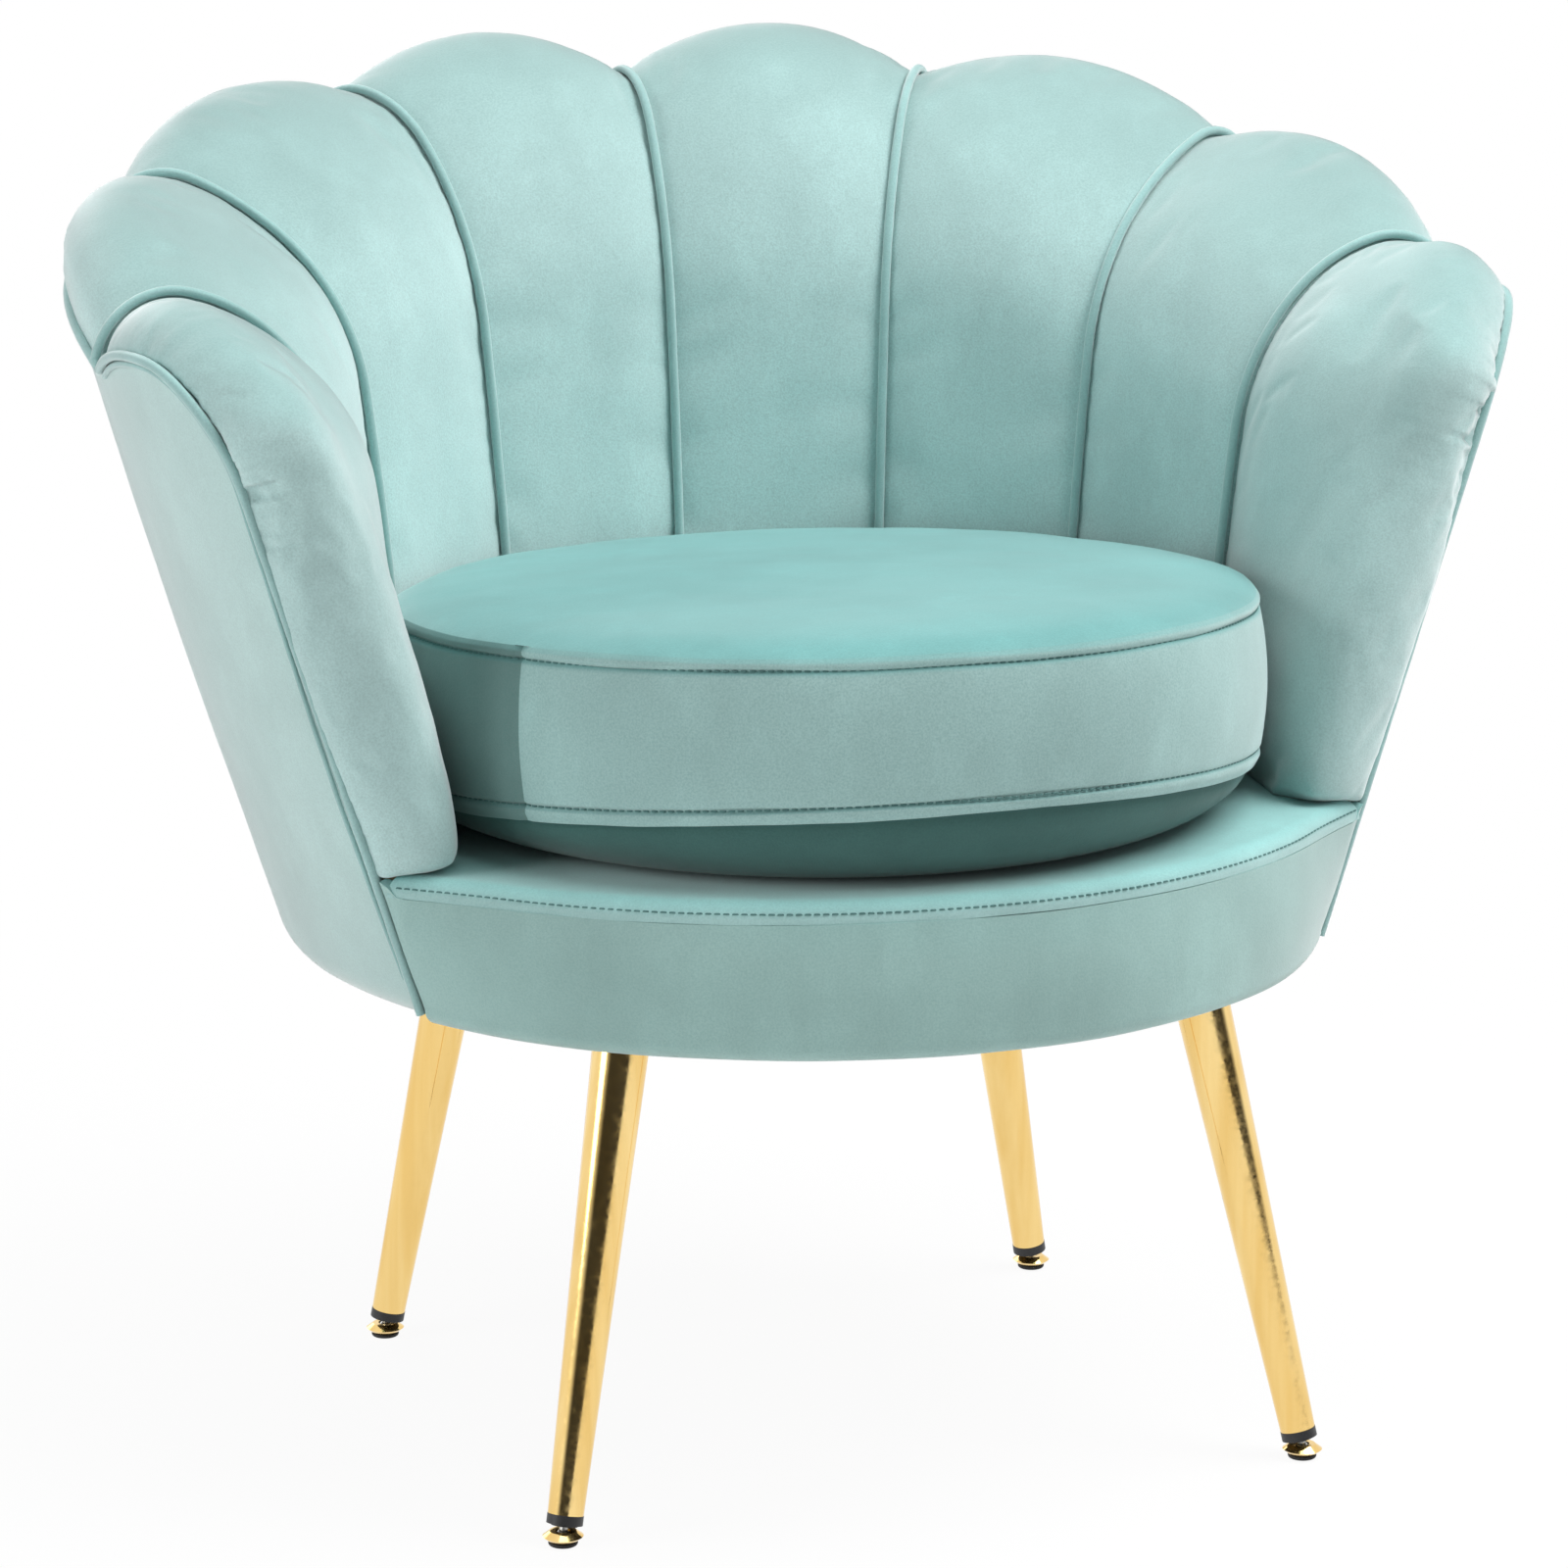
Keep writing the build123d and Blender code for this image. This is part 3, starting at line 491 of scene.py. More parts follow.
class Nodes(Graph):
    """The nodes of one material, round its Principled shader."""

    def __init__(self, name):
        self.material = bpy.data.materials.new(name)
        self.material.use_nodes = True
        super().__init__(self.material.node_tree)
        self.shader = self.tree.nodes["Principled BSDF"]

    def noise(self, scale, detail=2.0, stretch=(1, 1, 1), rough=0.5):
        place = self.add("ShaderNodeTexCoord")
        sized = self.add("ShaderNodeMapping", [("Vector", place.outputs["Object"])], Scale=stretch)
        made = self.add("ShaderNodeTexNoise", [("Vector", sized.outputs["Vector"])],
                        Scale=scale, Detail=detail, Roughness=rough)
        return made.outputs["Fac"]

    def mix(self, factor, first, second):
        node = self.add("ShaderNodeMix", data_type="RGBA")
        self.tree.links.new(factor, node.inputs[0])
        for socket, value in ((6, first), (7, second)):
            if isinstance(value, tuple):
                node.inputs[socket].default_value = (*value, 1)
            else:
                self.tree.links.new(value, node.inputs[socket])
        return node.outputs[2]

    def bump(self, source, strength, distance, below=None):
        node = self.add("ShaderNodeBump", [("Height", source)], Strength=strength, Distance=distance)
        if below:
            self.tree.links.new(below, node.inputs["Normal"])
        return node.outputs["Normal"]

    def drive(self, socket, source):
        """Join a node's output to an input of the shader."""
        self.tree.links.new(source, self.shader.inputs[socket])

    def fix(self, **values):
        """Set inputs of the shader."""
        for key, value in values.items():
            self.shader.inputs[key.replace("_", " ")].default_value = value


def velvet(name, wall, top, sheen=0.9):
    """Short-pile velvet with painted sheen by facing: level faces a deeper teal, walls lighter and greyer;
    brushed patches, a soft sheen, fine pile.
    """
    n = Nodes(name)
    normal = n.add("ShaderNodeSeparateXYZ", [("Vector", n.add("ShaderNodeNewGeometry").outputs["Normal"])])
    # Painted sheen: faces that point up take the deeper top colour, upright and leaning faces the lighter,
    # greyer wall colour
    colour = n.mix(n.spread(normal.outputs["Z"], 0.25, 0.95), wall, top)
    brushed = n.spread(n.noise(7, 4, (1, 1, 0.7), 0.6), 0.42, 0.70, 1.0, 0.84)
    rubbed = n.spread(n.noise(22, 4, (1, 1, 0.55), 0.65), 0.50, 0.78, 1.0, 1.12)
    for shade in (brushed, rubbed):
        colour = n.add("ShaderNodeHueSaturation", [("Color", colour), ("Value", shade)]).outputs["Color"]
    pile = n.noise(900, 3)
    colour = n.mix(n.spread(pile, 0.35, 0.75, 0.0, 0.30), colour, tuple(0.55 * c for c in top))
    n.drive("Base Color", colour)
    n.drive("Normal", n.bump(pile, 0.22, 0.0006, n.bump(n.noise(60, 3), 0.10, 0.002)))
    n.fix(Roughness=0.85, Specular_IOR_Level=0.12)
    n.fix(Sheen_Weight=sheen, Sheen_Roughness=0.5, Sheen_Tint=(1, 1, 1, 1))
    return n.material


def gold():
    """Polished gold plating with fine scratches along it and a little dust."""
    n = Nodes("polished_gold")
    streaks = n.noise(90, 3, (1, 1, 0.03))
    colour = n.mix(n.spread(streaks, 0.35, 0.7), (0.86, 0.58, 0.20), (0.95, 0.70, 0.30))
    n.drive("Base Color", colour)
    n.drive("Roughness", n.spread(n.noise(260, 3), 0.35, 0.75, 0.06, 0.17))
    n.drive("Normal", n.bump(n.noise(420, 2), 0.025, 0.0004))
    n.fix(Metallic=1.0)
    return n.material


def plain(name, colour, rough, metallic=0.0, scale=300, depth=0.15):
    """Moulded, painted or bare stock with fine mottling and grain."""
    n = Nodes(name)
    mottle = n.noise(scale, 3)
    n.drive("Base Color", n.mix(n.spread(mottle, 0.3, 0.7), tuple(0.8 * c for c in colour), colour))
    n.drive("Roughness", n.spread(mottle, 0.3, 0.7, rough - 0.06, rough + 0.06))
    n.drive("Normal", n.bump(n.noise(scale * 4, 2), depth, 0.0003))
    n.fix(Metallic=metallic)
    return n.material


def wood(name, dark, light, stretch):
    """Bare wood, its grain drawn out by the stretch."""
    n = Nodes(name)
    grain = n.noise(30, 5, stretch, 0.65)
    n.drive("Base Color", n.mix(n.spread(grain, 0.3, 0.7), dark, light))
    n.drive("Normal", n.bump(grain, 0.2, 0.0006))
    n.fix(Roughness=0.7)
    return n.material


def woven(name, colour, pitch):
    """Cloth with a crossed weave."""
    n = Nodes(name)
    place = n.add("ShaderNodeTexCoord").outputs["Object"]
    threads = n.add("ShaderNodeTexChecker", [("Vector", place)], Scale=1 / pitch).outputs["Fac"]
    n.drive("Base Color", n.mix(threads, tuple(0.6 * c for c in colour), colour))
    n.drive("Normal", n.bump(threads, 0.3, 0.0004))
    n.fix(Roughness=0.9)
    return n.material


# The chair's one velvet in lit and shaded copies: each piece's colours are painted lighter or darker for the
# light and shade that falls on it
VELVET = velvet("velvet_back", (0.525, 0.740, 0.725), (0.240, 0.410, 0.395))
VELVET_ARM = velvet("velvet_arms", (0.455, 0.650, 0.635), (0.275, 0.470, 0.455))
# The cushion's copy is painted darker, as painted shade on its front-facing walls
VELVET_SEAT = velvet("velvet_cushion", (0.370, 0.565, 0.545), (0.150, 0.400, 0.390), 0.45)
# The boxing's back strip, sewn with its pile the other way, is painted much darker: partly its pile, partly
# painted shade from the arms
VELVET_STRIP_PILE_AND_SHADE = velvet("velvet_back_strip_pile_and_shade", (0.150, 0.260, 0.245), (0.130, 0.350, 0.340), 0.35)
# The band's copy is painted darker, as painted shade on its front-facing faces
VELVET_BAND = velvet("velvet_band", (0.345, 0.530, 0.500), (0.265, 0.540, 0.522), 0.55)
# The deck's copy is painted lighter, a painted light on the deck in front of the cushion
VELVET_DECK = velvet("velvet_deck", (0.400, 0.620, 0.600), (0.345, 0.690, 0.670), 0.5)
VELVET_OUT = velvet("velvet_outside", (0.450, 0.635, 0.612), (0.390, 0.600, 0.580))
# Painted shade: the cushion's underside is painted a near-black teal for the shade under it
VELVET_UNDER_PAINTED_SHADE = velvet("velvet_underside_painted_shade", (0.058, 0.148, 0.135), (0.058, 0.155, 0.142), 0.3)
# Cords and hems painted darker, as painted shade from the crevices beside them
PIPE_VELVET = velvet("velvet_piping", (0.330, 0.540, 0.525), (0.310, 0.540, 0.525))
THREAD = plain("sewing_thread", (0.085, 0.215, 0.205), 0.7, scale=900)
GOLD = gold()
BLACK = plain("black_plastic", (0.022, 0.022, 0.024), 0.45, scale=500)
RUBBER = plain("black_rubber", (0.020, 0.020, 0.021), 0.75, scale=700)
STEEL = plain("zinc_steel", (0.62, 0.62, 0.60), 0.3, 1.0, scale=500)
ENAMEL = plain("black_enamel", (0.018, 0.018, 0.018), 0.35, scale=200)
PLY = wood("bent_plywood", (0.36, 0.22, 0.11), (0.58, 0.40, 0.22), (1, 1, 0.06))
TIMBER = wood("sawn_timber", (0.42, 0.28, 0.15), (0.64, 0.47, 0.28), (0.2, 0.2, 1))
STRAPS = woven("elastic_webbing", (0.05, 0.05, 0.05), 0.002)
DUST = woven("dust_cloth", (0.030, 0.030, 0.032), 0.0012)


def paint(node, material):
    """Give a CAD node's own mesh a material."""
    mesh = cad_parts[node].data
    mesh.materials.clear()
    mesh.materials.append(material)


for stem, material in (
    ("leg", GOLD), ("leveller_cup", GOLD), ("ferrule", BLACK), ("leveller_pad", RUBBER),
    ("leveller_stem", STEEL), ("leg_plate", ENAMEL),
):
    for corner in ("front_left", "front_right", "back_left", "back_right"):
        paint(f"{stem}_{corner}", material)
for node, material in (
    ("leg_screws", STEEL), ("back_shell", PLY), ("base_board", PLY), ("dust_cover", DUST),
    ("webbing_lengthwise", STRAPS), ("webbing_crosswise", STRAPS), ("seat_rail_front", TIMBER),
    ("seat_rail_back", TIMBER), ("seat_rail_left", TIMBER), ("seat_rail_right", TIMBER),
):
    paint(node, material)


def dress(obj, node, body="frame"):
    """Put a soft piece in the place of its CAD node."""
    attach(obj, body)
    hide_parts(node)


def dress_cord(node, path):
    """Put a velvet cord in the place of its CAD node."""
    dress(tube(f"soft_{node}", path, CORD, PIPE_VELVET, wobble=CORD_WOBBLE), node)


def sew_on(obj, body):
    """Let a seam's trim, which has no CAD node of its own, ride on a body."""
    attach(obj, body)


# Petals of the back

def pad_row(column):
    """Closed loop of a pad's section: the visible line, then its back against the shell."""
    line = column.pad_line()
    hook = (column.outer(line[-1][1]) - LINING, line[-1][1])
    heel = (column.outer(FOOT_Z) - LINING, FOOT_Z)
    return [column.place(*p) for p in line + [hook, heel]]


def crumple(obj, size, seed):
    """Make a pad's cloth uneven, with hills of one size and finer ones."""
    swell(obj, lambda p: 0.0012 * hills(p, size, seed) + 0.0004 * hills(p, 0.02, seed))


ACROSS = 40
PUFF = (2.0, 0.004, 0.004)  # pressure, growth of the cloth, and the most it moves in metres
soft_pads = []
for index in range(3):
    rows = [pad_row(petal_column(index, step / ACROSS)) for step in range(ACROSS + 1)]
    width = len(rows[0])
    petal = new_object(f"soft_petal_{index + 1}_right", *loop_grid(rows), VELVET)
    twin = mirrored(f"soft_petal_{index + 1}_left", petal)
    held = [r * width + c for r in range(ACROSS + 1) for c in range(width)
            if r in (0, ACROSS) or c < 1 or c >= width - 4]
    for hand, obj, seed in (("right", petal, index + 1.0), ("left", twin, index + 7.5)):
        crumple(obj, 0.07, seed)
        soft_pads.append((obj, held, *PUFF))
        dress(obj, f"petal_{index + 1}_{hand}")

# Arm petals with their rounded fronts

arm_tops = [arm_column(ARM_WELT * step / 50) for step in range(51)]
arm_path = [column.place(column.welt[0] + WELT_OUT, column.welt[1]) for column in arm_tops]
front = arm_tops[-1]
for step in range(1, 81):
    z = front.welt[1] + (BASE_Z + 0.006 - front.welt[1]) * step / 80
    arm_path.append(front.place(front.outer(z) + WELT_OUT, z))
for smoothing in range(12):
    arm_path[1:-1] = [(a + 2 * b + c) / 4 for a, b, c in zip(arm_path, arm_path[1:], arm_path[2:])]

NOSE_SIDE = 20
NOSE_BULGE = 0.004  # how far the outer side of an arm's front stands out in its middle
HEM = 0.0035  # how far an arm's cloth goes in under its cords and the deck's cloth


def nose_row(forward):
    """Closed loop of the arm's front, where its outer side draws in too."""
    column = arm_column(forward)
    slim = rounding(forward, ARM_PAD, NOSE_TIP)
    line = column.pad_line(0.0)
    edge = line[-1]
    last = PROFILE_STEPS[-1]
    for back in range(last):
        x, z = line[-1 - back]
        line[-1 - back] = (x + (1 - back / last) * (slim - 1) * (edge[0] - column.middle(edge[1])), z)
    side = []
    for step in range(1, NOSE_SIDE + 1):
        share = step / NOSE_SIDE
        z = edge[1] + share * (FOOT_Z - edge[1])
        x = column.outer(z) + NOSE_BULGE * 4 * share * (1 - share) - max(0.0, ARM_WELT - forward)
        side.append((column.middle(z) + slim * (x - column.middle(z)), z))
    return [column.place(*p) for p in line + side]


def arm_row(forward):
    """Loop of the arm behind its front welt, with as many points as the nose's loops."""
    column = arm_column(forward)
    line = column.pad_line(0.0)
    hem_z = line[-1][1] - HEM * min(column.slot, 1.5)
    top, foot = column.outer(hem_z) - LINING, column.outer(FOOT_Z) - LINING
    back = [(column.outer(hem_z) - HEM, hem_z)]
    for step in range(NOSE_SIDE - 1):
        share = step / (NOSE_SIDE - 2)
        back.append((top + share * (foot - top), hem_z + share * (FOOT_Z - hem_z)))
    return [column.place(*p) for p in line + back]


ARM_BACK = -0.002  # the arm's cloth starts just behind its piping
rows = [arm_row(ARM_BACK + (ARM_WELT - HEM - ARM_BACK) * step / 44) for step in range(45)]
rows += [nose_row(ARM_WELT - HEM + 0.0003), nose_row(ARM_WELT)]
rows += [nose_row(ARM_PAD + (NOSE_TIP - ARM_PAD) * sin(pi / 2 * step / 20)) for step in range(20)]


def corner_lift(p):
    """How far the rounded lower corner of an arm's front stands up from the deck."""
    ahead = eased(ramp(SEAT_Y - p.y, 0.100, 0.050))
    inside = clamped((side_reach(p.z) * 0.88 - abs(p.x)) / 0.060)
    return 0.010 * ahead * inside * exp(-(p.z - FOOT_Z) / 0.020)


def arm_place(p):
    """Where the cloth of an arm lies: up at its front corner, its hem tucked under the deck's cloth."""
    return p + Vector((0, 0, corner_lift(p) - (HEM if p.z < FOOT_Z + 0.0001 else 0)))


welt_tree = tree_of(arm_path)


def arm_freedom(p):
    """1 where the right arm's cloth is free, 0 at its seams and where it lies against the shell."""
    forward = SEAT_Y - p.y
    foot = max(ramp(p.z - FOOT_Z, 0.002, 0.020), ramp(forward, 0.110, 0.030))
    share = min(ramp(welt_tree.find(p)[2], 0.008, 0.014), ramp(forward, 0.006, 0.012), foot)
    if forward < ARM_WELT + 0.0015 and p.z < arm_welt_z(forward) + 0.003:
        lining = side_reach(p.z) * sqrt(1 - (forward / back_reach(p.z)) ** 2) - LINING
        share = min(share, ramp(lining - p.x, 0.003, 0.004))
    return clamped(share)


rows = [[arm_place(p) for p in row] for row in rows]
arm = new_object("soft_arm_right", *loop_grid(rows), VELVET_ARM)
rebuild(arm, "REMESH", mode="VOXEL", voxel_size=0.0036)
soften(arm, arm_freedom, 46)
held = [v.index for v in arm.data.vertices if arm_freedom(v.co) < 0.05]
arm_twin = mirrored("soft_arm_left", arm)
arms = (("right", 1, arm, 11.0), ("left", -1, arm_twin, 17.0))
for hand, flip, obj, seed in arms:
    crumple(obj, 0.06, seed)
    soft_pads.append((obj, held, *PUFF))
    dress(obj, f"arm_petal_{hand}")

# Pipings in the valleys

PIPE_LIFT = 0.0040
PIPE_END = 0.0045  # how far above the welt a piping ends
valleys = [petal_column(0, 0), petal_column(0, 1), petal_column(1, 1), petal_column(2, 1)]
for index, column in enumerate(valleys):
    line = column.pad_line(PIPE_END)
    path = []
    for i, (r, z) in enumerate(line):
        ahead = line[min(i + 1, len(line) - 1)]
        behind = line[max(i - 1, 0)]
        length = hypot(ahead[0] - behind[0], ahead[1] - behind[1])
        out = (-(ahead[1] - behind[1]) / length, (ahead[0] - behind[0]) / length)
        path.append(column.place(r + PIPE_LIFT * out[0], z + PIPE_LIFT * out[1]))
    if index == 0:
        dress_cord("piping_centre", path)
        continue
    for hand, flip in HANDS:
        dress_cord(f"piping_{index}_{hand}", flipped(path, flip))

# Edge welts: round the back rim, and along each arm and down its front

rim = [petal_column(i, step / 30) for i in range(3) for step in range(31)]
half = [column.place(column.welt[0] + WELT_OUT, column.welt[1]) for column in rim]
half = [p for i, p in enumerate(half) if i == 0 or (p - half[i - 1]).length > 1e-5]
dress_cord("edge_welt_back", flipped(reversed(half[1:])) + half)
for hand, flip in HANDS:
    dress_cord(f"arm_welt_{hand}", flipped(arm_path, flip))

# Outer panel

PANEL_ARM = 0.12945
PANEL_BEND = BASE_Z + 0.020  # height at which the panel starts to turn under
PANEL_FLANGE = 0.0206
PANEL_BULGE = 0.0022
PANEL_THICK = 0.005


def panel_top(column):
    return column.welt[1] - 0.003 * column.slot


def panel_out(column, share):
    """Point of the outer panel's face, share of the way from its top to its lower bend."""
    z = panel_top(column) + share * (PANEL_BEND - panel_top(column))
    return column.outer(z) + PANEL_BULGE * sin(pi * share) ** 0.8, z


def panel_slack(p):
    """Small unevenness of the outer panel's cloth."""
    return 0.0010 * hills(p, 0.12, 23.0) + 0.0003 * hills(p, 0.03, 24.0)


def panel_row(column):
    """Closed loop of the outer panel's section, rounded under at the bottom."""
    top_z = panel_top(column)
    line = [panel_out(column, step / 40) for step in range(41)]
    top, bend, flange = column.outer(top_z), column.outer(PANEL_BEND), column.outer(BASE_Z) - PANEL_FLANGE
    lean = atan2(top - bend, top_z - PANEL_BEND)
    turned = arc_chain([(-bend, -PANEL_BEND), (-flange, -BASE_Z)], lean, (12,))
    line += [(-x, -z) for x, z in turned[1:]]
    line += [(flange, BASE_Z + PANEL_THICK), (bend - PANEL_THICK, PANEL_BEND), (top - PANEL_THICK, top_z)]
    return [column.place(*p) for p in line]


right = [petal_column(i, step / 30) for i in range(3) for step in range(30 if i < 2 else 31)]
right += [arm_column(PANEL_ARM * step / 24) for step in range(1, 25)]
right_rows = [panel_row(column) for column in right]
left_rows = [flipped(row) for row in reversed(right_rows[1:])]
panel = new_object("soft_outer_panel", *loop_grid(left_rows + right_rows), VELVET_OUT)
swell(panel, panel_slack)
dress(panel, "outer_panel")

# Rolled hem of the panel's cloth, beside each arm welt

ROLL = 0.0017
ROLL_APART = 0.0048  # from the middle of the welt
ROLL_OUT = 0.0005
roll_path = []
for before, point, after in zip(arm_path, arm_path[1:], arm_path[2:]):
    aside = Vector((1, 0, 0)).cross(after - before).normalized()
    place = point + aside * (ROLL_APART + 0.0004 * hills(point, 0.05, 31.0))
    column = arm_column(SEAT_Y - place.y)
    top_z = panel_top(column)
    share = max(0.0, (top_z - place.z) / (top_z - PANEL_BEND))
    if share < 0.99:
        roll_path.append(column.place(panel_out(column, share)[0], place.z))
for hand, flip in HANDS:
    path = [p + Vector((flip * (ROLL_OUT + panel_slack(p)), 0, 0)) for p in flipped(roll_path, flip)]
    sew_on(tube(f"panel_hem_{hand}", path, ROLL, PIPE_VELVET, wobble=2 * CORD_WOBBLE), "frame")

# Seat deck, whose cloth rolls over its front edge down to a stitched seam

DECK_RINGS = [step / 40 for step in range(41)]
DECK_FACE = DECK_TOP - 0.0003
DECK_LOW = 0.329
FRONT_CENTRE = 0.040  # middle of the band's and the deck's front arc, behind the axis
BAND_RADIUS = 0.326
END_TOP = atan2(288.5, -136.5)  # angle from the back at which the band meets the right welt, top and bottom
END_LOW = atan2(265.5, -136.5)


def deck_outline(angle):
    """Reach of the deck's pad."""
    return min(circle_reach(angle, FRONT_CENTRE, 0.3162), 0.2848)


def from_welt(angle):
    """Angle from the nearer arm's welt forward, below 0 behind it."""
    return pi - END_TOP - abs(angle - pi)


def lip(angle):
    """1 along the front edge between the arms, 0 elsewhere."""
    return eased((from_welt(angle) + radians(9)) / radians(3))


def band_drop(angle):
    """How far the band's top lies under the deck's rolled edge."""
    return 0.0085 * eased(from_welt(angle) / radians(2))


def flare(angle):
    """How far the top of the band turns out towards the arms' welts."""
    return 0.0125 * clamped(1 - from_welt(angle) / radians(13)) ** 2


def deck_reach(angle):
    """Reach of the deck's cloth, which covers the top of the band along the front."""
    rim = circle_reach(angle, FRONT_CENTRE, BAND_RADIUS) + flare(angle) + 0.0017
    if from_welt(angle) < 0:  # under the arms it stays inside the shell
        rim = 0.300
    return deck_outline(angle) + lip(angle) * (rim - deck_outline(angle))


def edge_width(angle):
    """Width of the deck's rounded edge."""
    return 0.008 + 0.004 * lip(angle)


def deck_edge(angle, turn):
    """Point of the deck's rounded edge, turn from level to upright."""
    out, drop = edge_width(angle), 0.007 + 0.0045 * lip(angle)
    return radial(angle)(deck_reach(angle) - out + out * sin(turn), DECK_FACE - drop * (1 - cos(turn)))


DECK_COLUMNS = 360
deck_rows = []
for step in range(DECK_COLUMNS):
    angle = 2 * pi * step / DECK_COLUMNS
    place, side = radial(angle), deck_outline(angle) - 0.002
    flat = deck_reach(angle) - edge_width(angle)
    row = [place(flat * t, DECK_FACE) for t in DECK_RINGS]
    row += [deck_edge(angle, pi / 2 * turn / 10) for turn in range(1, 11)]
    row += [place(side, DECK_FACE - 0.0135), place(side, DECK_LOW), place(0.0, DECK_LOW)]
    deck_rows.append(row)
deck_rows.append(deck_rows[0])
deck = new_object("soft_seat_deck", *loop_grid(deck_rows, closed=False, caps=False), VELVET_DECK)
weld(deck)
swell(deck, lambda p: 0.0006 * hills(p, 0.05, 37.0) if p.z > 0.34 else 0)  # its lower side stays flat
dress(deck, "seat_deck")

# Front band between the arm welts

BAND_TOP = 0.3535
BAND_LOW = 0.299  # reach of the band at its bottom
BAND_ROUND = 0.010
BAND_TUCK = (0.0045, 0.0012)  # how far in the band's first two points lie, under the deck's cloth


def band_row(share):
    """Section of the band, share from the right welt to the left one."""
    line = []
    for step in range(-2, 31):
        down = max(0, step) / 30
        end = END_TOP + down * (END_LOW - END_TOP)
        angle = end + share * (2 * pi - 2 * end)
        band_top = BAND_TOP - band_drop(angle)
        top = circle_reach(angle, FRONT_CENTRE, BAND_RADIUS) + (1 - down) * flare(angle)
        tuck = BAND_TUCK[step + 2] if step < 0 else 0.0
        z = band_top + down * (BASE_Z + BAND_ROUND - band_top) + (0.0011 if step == -2 else 0.0)
        swelled = 0.0035 * sin(pi * down) + 0.002 * lip(angle) * (1 - down)
        line.append(radial(angle)(top - tuck + down * (BAND_LOW - top) + swelled, z))
    for step in range(1, 9):
        turn = pi / 2 * step / 8
        low = BAND_LOW - BAND_ROUND * (1 - cos(turn))
        line.append(radial(angle)(low, BASE_Z + BAND_ROUND * (1 - sin(turn))))
    inner = deck_outline(angle) + 0.0006
    return line + [radial(angle)(inner, BASE_Z), radial(angle)(inner, BAND_TOP - band_drop(angle))]


band = new_object("soft_front_band", *loop_grid([band_row(step / 160) for step in range(161)]), VELVET_BAND)
swell(band, lambda p: 0.0008 * hills(p, 0.08, 31.0))
dress(band, "front_band")

seam_half = pi - END_TOP - radians(1)
seam = [deck_edge(pi - seam_half + 2 * seam_half * k / 200, radians(62)) for k in range(201)]
row = stitching("deck_stitches", seam, lambda p: Vector((p.x, p.y - SEAT_Y, 0.20)).normalized(), THREAD)
sew_on(row, "frame")

# Loose cushion

CUSHION_Y = SEAT_Y + WALL_CENTRE
LOW_SEAM, TOP_SEAM = 0.400, 0.487
SEAM_R = 0.2438
CUSHION_LOW = 0.3577
CUSHION_CROWN = 0.5035
FLAT_R = 0.190  # flat middle of the underside
TOP_RINGS = 45
STITCH_LINES = (("top", 0.075), ("low", 0.905))  # shares of the boxing, from its top seam down
TILT = radians(2.8)  # the cushion leans down to the back, about the front of its lower seam


def round_cushion(r, angle, z):
    """Point of the cushion; above its lower seam it leans with the tilt, below it less and less."""
    share = clamped((z - CUSHION_LOW) / (LOW_SEAM - CUSHION_LOW))
    lean = TILT * share
    back, up = r * cos(angle) + SEAM_R, z - LOW_SEAM
    around = min(abs(angle - pi), pi / 2)
    droop = 0.011 * sin(around) ** 2 * share * (r / SEAM_R) ** 4 * (1 - clamped(up / (TOP_SEAM - LOW_SEAM)))
    if up < 0:
        return Vector((r * sin(angle), CUSHION_Y - SEAM_R + back, z - back * sin(lean) - droop))
    return Vector((r * sin(angle), CUSHION_Y - SEAM_R + back * cos(lean) + up * sin(lean),
                   LOW_SEAM + up * cos(lean) - back * sin(lean) - droop))


BOXING_SHARES = [0.004, 0.012, 0.022, 0.036, 0.050, 0.062, 0.069, 0.075, 0.081, 0.088, 0.100, 0.115]
BOXING_SHARES += [0.115 + 0.765 * step / 24 for step in range(1, 25)]
BOXING_SHARES += [0.890, 0.899, 0.905, 0.911, 0.920, 0.932, 0.948, 0.965, 0.980, 0.992, 1.0]
BOXING_JOINS = (radians(95), radians(241))  # where the boxing's back strip is sewn to its front strip


def boxing_out(angle, share):
    """How far the boxing stands out: full in the middle, drawn in at its stitches and joins."""
    out = 0.0062 * sin(pi * share) ** 0.75
    for name, line in STITCH_LINES:
        out -= 0.0016 * exp(-((share - line) / 0.012) ** 2)
    out += 0.0012 * (exp(-((share - 0.036) / 0.022) ** 2) + 0.7 * exp(-((share - 0.95) / 0.022) ** 2))
    for join in BOXING_JOINS:
        out -= 0.0018 * exp(-((angle - join) / 0.012) ** 2)
    return out


def seam_wave(angle):
    """How far the top seam rises and falls round the cushion."""
    return 0.0011 * hills((3 * sin(angle), 3 * cos(angle), 0), 0.9, 40.0)


def boxing_point(angle, share, lift=0.0):
    """Reach and height of the boxing, share of the way down from its top seam."""
    z = TOP_SEAM + share * (LOW_SEAM - TOP_SEAM) + seam_wave(angle) * (1 - share)
    return SEAM_R + boxing_out(angle, share) + lift, z


def cushion_line(angle):
    """Half section from the middle of the top, over both seams, to the middle of the underside."""
    wave = seam_wave(angle)
    line = []
    for step in range(TOP_RINGS + 1):
        edge = step / TOP_RINGS
        z = CUSHION_CROWN - 0.0085 * edge ** 2.2 - 0.0080 * edge ** 16 + wave * edge ** 4
        line.append((SEAM_R * edge, z))
    line += [boxing_point(angle, share) for share in BOXING_SHARES]
    under = LOW_SEAM + 0.0005
    line.append((SEAM_R - 0.004, under))
    for step in range(1, 19):
        turn = pi / 2 * step / 18
        line.append((FLAT_R + 0.0498 * cos(turn), under - (under - CUSHION_LOW) * sin(turn)))
    return line + [(FLAT_R * (1 - step / 10), CUSHION_LOW) for step in range(1, 11)]


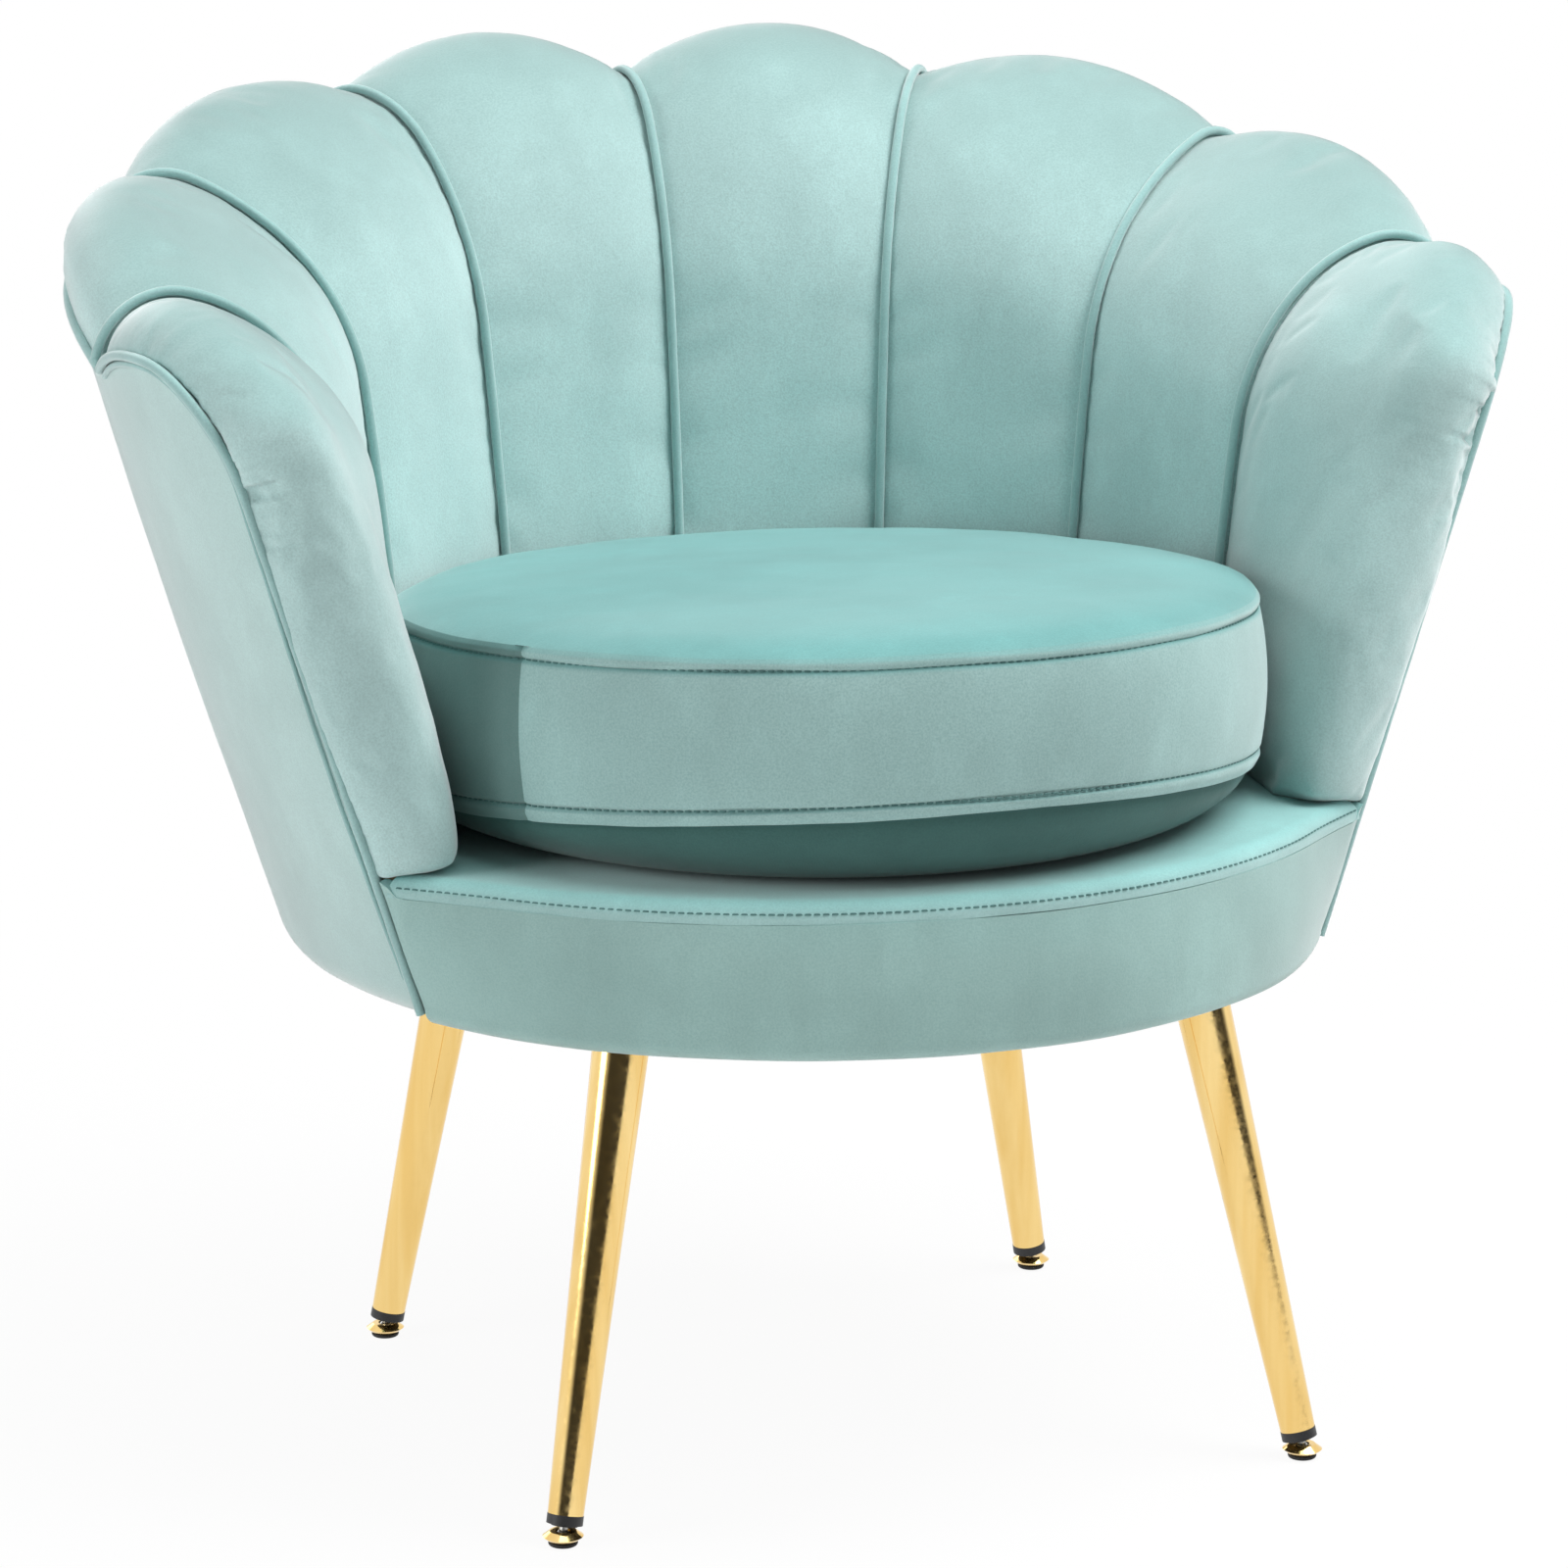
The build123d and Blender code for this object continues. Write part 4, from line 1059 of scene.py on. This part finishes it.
CUSHION_COLUMNS = 300
cushion_rows = []
for step in range(CUSHION_COLUMNS):
    angle = 2 * pi * step / CUSHION_COLUMNS
    cushion_rows.append([round_cushion(r, angle, z) for r, z in cushion_line(angle)])
cushion_rows.append(cushion_rows[0])
cushion = new_object("soft_cushion", *loop_grid(cushion_rows, closed=False, caps=False), VELVET_SEAT)
weld(cushion)
cushion.data.materials.append(VELVET_UNDER_PAINTED_SHADE)
cushion.data.materials.append(VELVET_STRIP_PILE_AND_SHADE)
# Underside faces take the painted-shade velvet, the boxing's back strip its darker copy, partly painted
# shade
for face in cushion.data.polygons:
    column, ring = divmod(face.index, len(cushion_rows[0]) - 1)
    angle = 2 * pi * (column + 0.5) / CUSHION_COLUMNS
    if ring >= TOP_RINGS + len(BOXING_SHARES):
        face.material_index = 1
    elif ring >= TOP_RINGS and not BOXING_JOINS[0] < angle < BOXING_JOINS[1]:
        face.material_index = 2


def cushion_slack(p):
    """Small unevenness of the cushion's cloth; its underside lies flat."""
    return 0.0014 * hills(p, 0.10, 41.0) + 0.0004 * hills(p, 0.03, 42.0) if p.z > LOW_SEAM - 0.02 else 0


swell(cushion, cushion_slack)
dress(cushion, "seat_cushion", body="cushion")


def from_cushion(point):
    return Vector((point.x, point.y - CUSHION_Y, 0)).normalized()


for name, share in STITCH_LINES:
    turns = [2 * pi * k / 360 for k in range(361)]
    path = []
    for angle in turns:
        r, z = boxing_point(angle, share, 0.0002)
        path.append(round_cushion(r, angle, z))
    sew_on(stitching(f"cushion_stitches_{name}", path, from_cushion, THREAD), "cushion")

# Cloth blown up between its seams, and the gathers beside the arms' welts

GATHER_DEPTH = 0.0075
puff(soft_pads)
for hand, flip, obj, seed in arms:
    rebuild(obj, "SUBSURF", levels=1)
    gather(obj, flipped(arm_path, flip), seed, GATHER_DEPTH)

# Stage: camera, floor and soft light

camera = bpy.data.objects.new("camera", bpy.data.cameras.new("camera"))
bpy.context.scene.collection.objects.link(camera)
camera.data.lens = 137.43
camera.data.sensor_width = 36
camera.data.clip_end = 50
EYE = Vector((-1.12758, -3.16303 + SEAT_Y, 1.10282))
AHEAD = Vector((0.32494, 0.92057, -0.21672))
RIGHT = Vector((0.94298, -0.33285, 0))
UP = Vector((0.07214, 0.20436, 0.97623))
camera.matrix_world = Matrix((
    (RIGHT.x, UP.x, -AHEAD.x, EYE.x),
    (RIGHT.y, UP.y, -AHEAD.y, EYE.y),
    (RIGHT.z, UP.z, -AHEAD.z, EYE.z),
    (0, 0, 0, 1),
))
bpy.context.scene.camera = camera

WHITE = (1, 1, 1, 1)
world = bpy.data.worlds.new("studio")
bpy.context.scene.world = world
world.use_nodes = True
studio = Graph(world.node_tree)
ambient = studio.tree.nodes["Background"]
ambient.inputs["Color"].default_value = (0.97, 0.99, 1.0, 1)
ambient.inputs["Strength"].default_value = 0.20
facing = studio.add("ShaderNodeSeparateXYZ", [(0, studio.add("ShaderNodeTexCoord").outputs["Generated"])])
# Reflections see the studio white behind the chair and unlit in front of it
lit = studio.spread(facing.outputs["Y"], -0.62, -0.15, 0.05, 1.0, "SMOOTHSTEP")
seen = studio.math("MAXIMUM", lit, studio.add("ShaderNodeLightPath").outputs["Is Camera Ray"])
white = studio.add("ShaderNodeBackground", [("Strength", seen)], Color=WHITE)
studio.choose(studio.seen_white(), ambient.outputs[0], white.outputs[0], "World Output")

floor_mesh = bpy.data.meshes.new("floor")
FLOOR = 12
floor_corners = [(x * FLOOR, y * FLOOR, 0) for x, y in ((-1, -1), (1, -1), (1, 1), (-1, 1))]
floor_mesh.from_pydata(floor_corners, [], [(0, 1, 2, 3)])
floor = bpy.data.objects.new("floor", floor_mesh)
bpy.context.scene.collection.objects.link(floor)
floor_look = bpy.data.materials.new("pale_floor")
floor_look.use_nodes = True
ground = Graph(floor_look.node_tree)
diffuse = ground.add("ShaderNodeBsdfDiffuse", Color=(0.90, 0.90, 0.90, 1))
glow = ground.add("ShaderNodeEmission", Color=WHITE)
place = ground.add("ShaderNodeNewGeometry").outputs["Position"]
distance = ground.add("ShaderNodeVectorMath", [(0, place)], operation="LENGTH").outputs["Value"]
# The share of plain white grows with the distance from the chair, so that its shadow fades out
share = ground.spread(distance, 0.25, 1.3, 0.94, 1.0, "SMOOTHSTEP")
share = ground.math("MULTIPLY", ground.seen_white(), share)
ground.choose(share, diffuse.outputs[0], glow.outputs[0], "Material Output")
floor_mesh.materials.append(floor_look)


AIM = Vector((0, 0, 0.45))


def softbox(name, place, size, power):
    """Round area lamp that looks at the seat."""
    lamp = bpy.data.lights.new(name, "AREA")
    lamp.shape = "DISK"
    lamp.size = size
    lamp.energy = power
    obj = bpy.data.objects.new(name, lamp)
    bpy.context.scene.collection.objects.link(obj)
    obj.location = place
    obj.rotation_euler = (AIM - Vector(place)).to_track_quat("-Z", "Y").to_euler()


softbox("softbox_right_top", (1.4, -0.4, 3.0), 1.8, 60)
softbox("softbox_right_front", (1.6, -1.5, 2.9), 1.8, 40)
softbox("softbox_left", (-2.6, -0.3, 1.2), 1.8, 30)
softbox("softbox_top", (0.2, 0.2, 3.0), 2.2, 24)
softbox("softbox_back", (-0.6, 2.8, 1.4), 1.8, 12)

bpy.context.scene.view_settings.view_transform = "Standard"
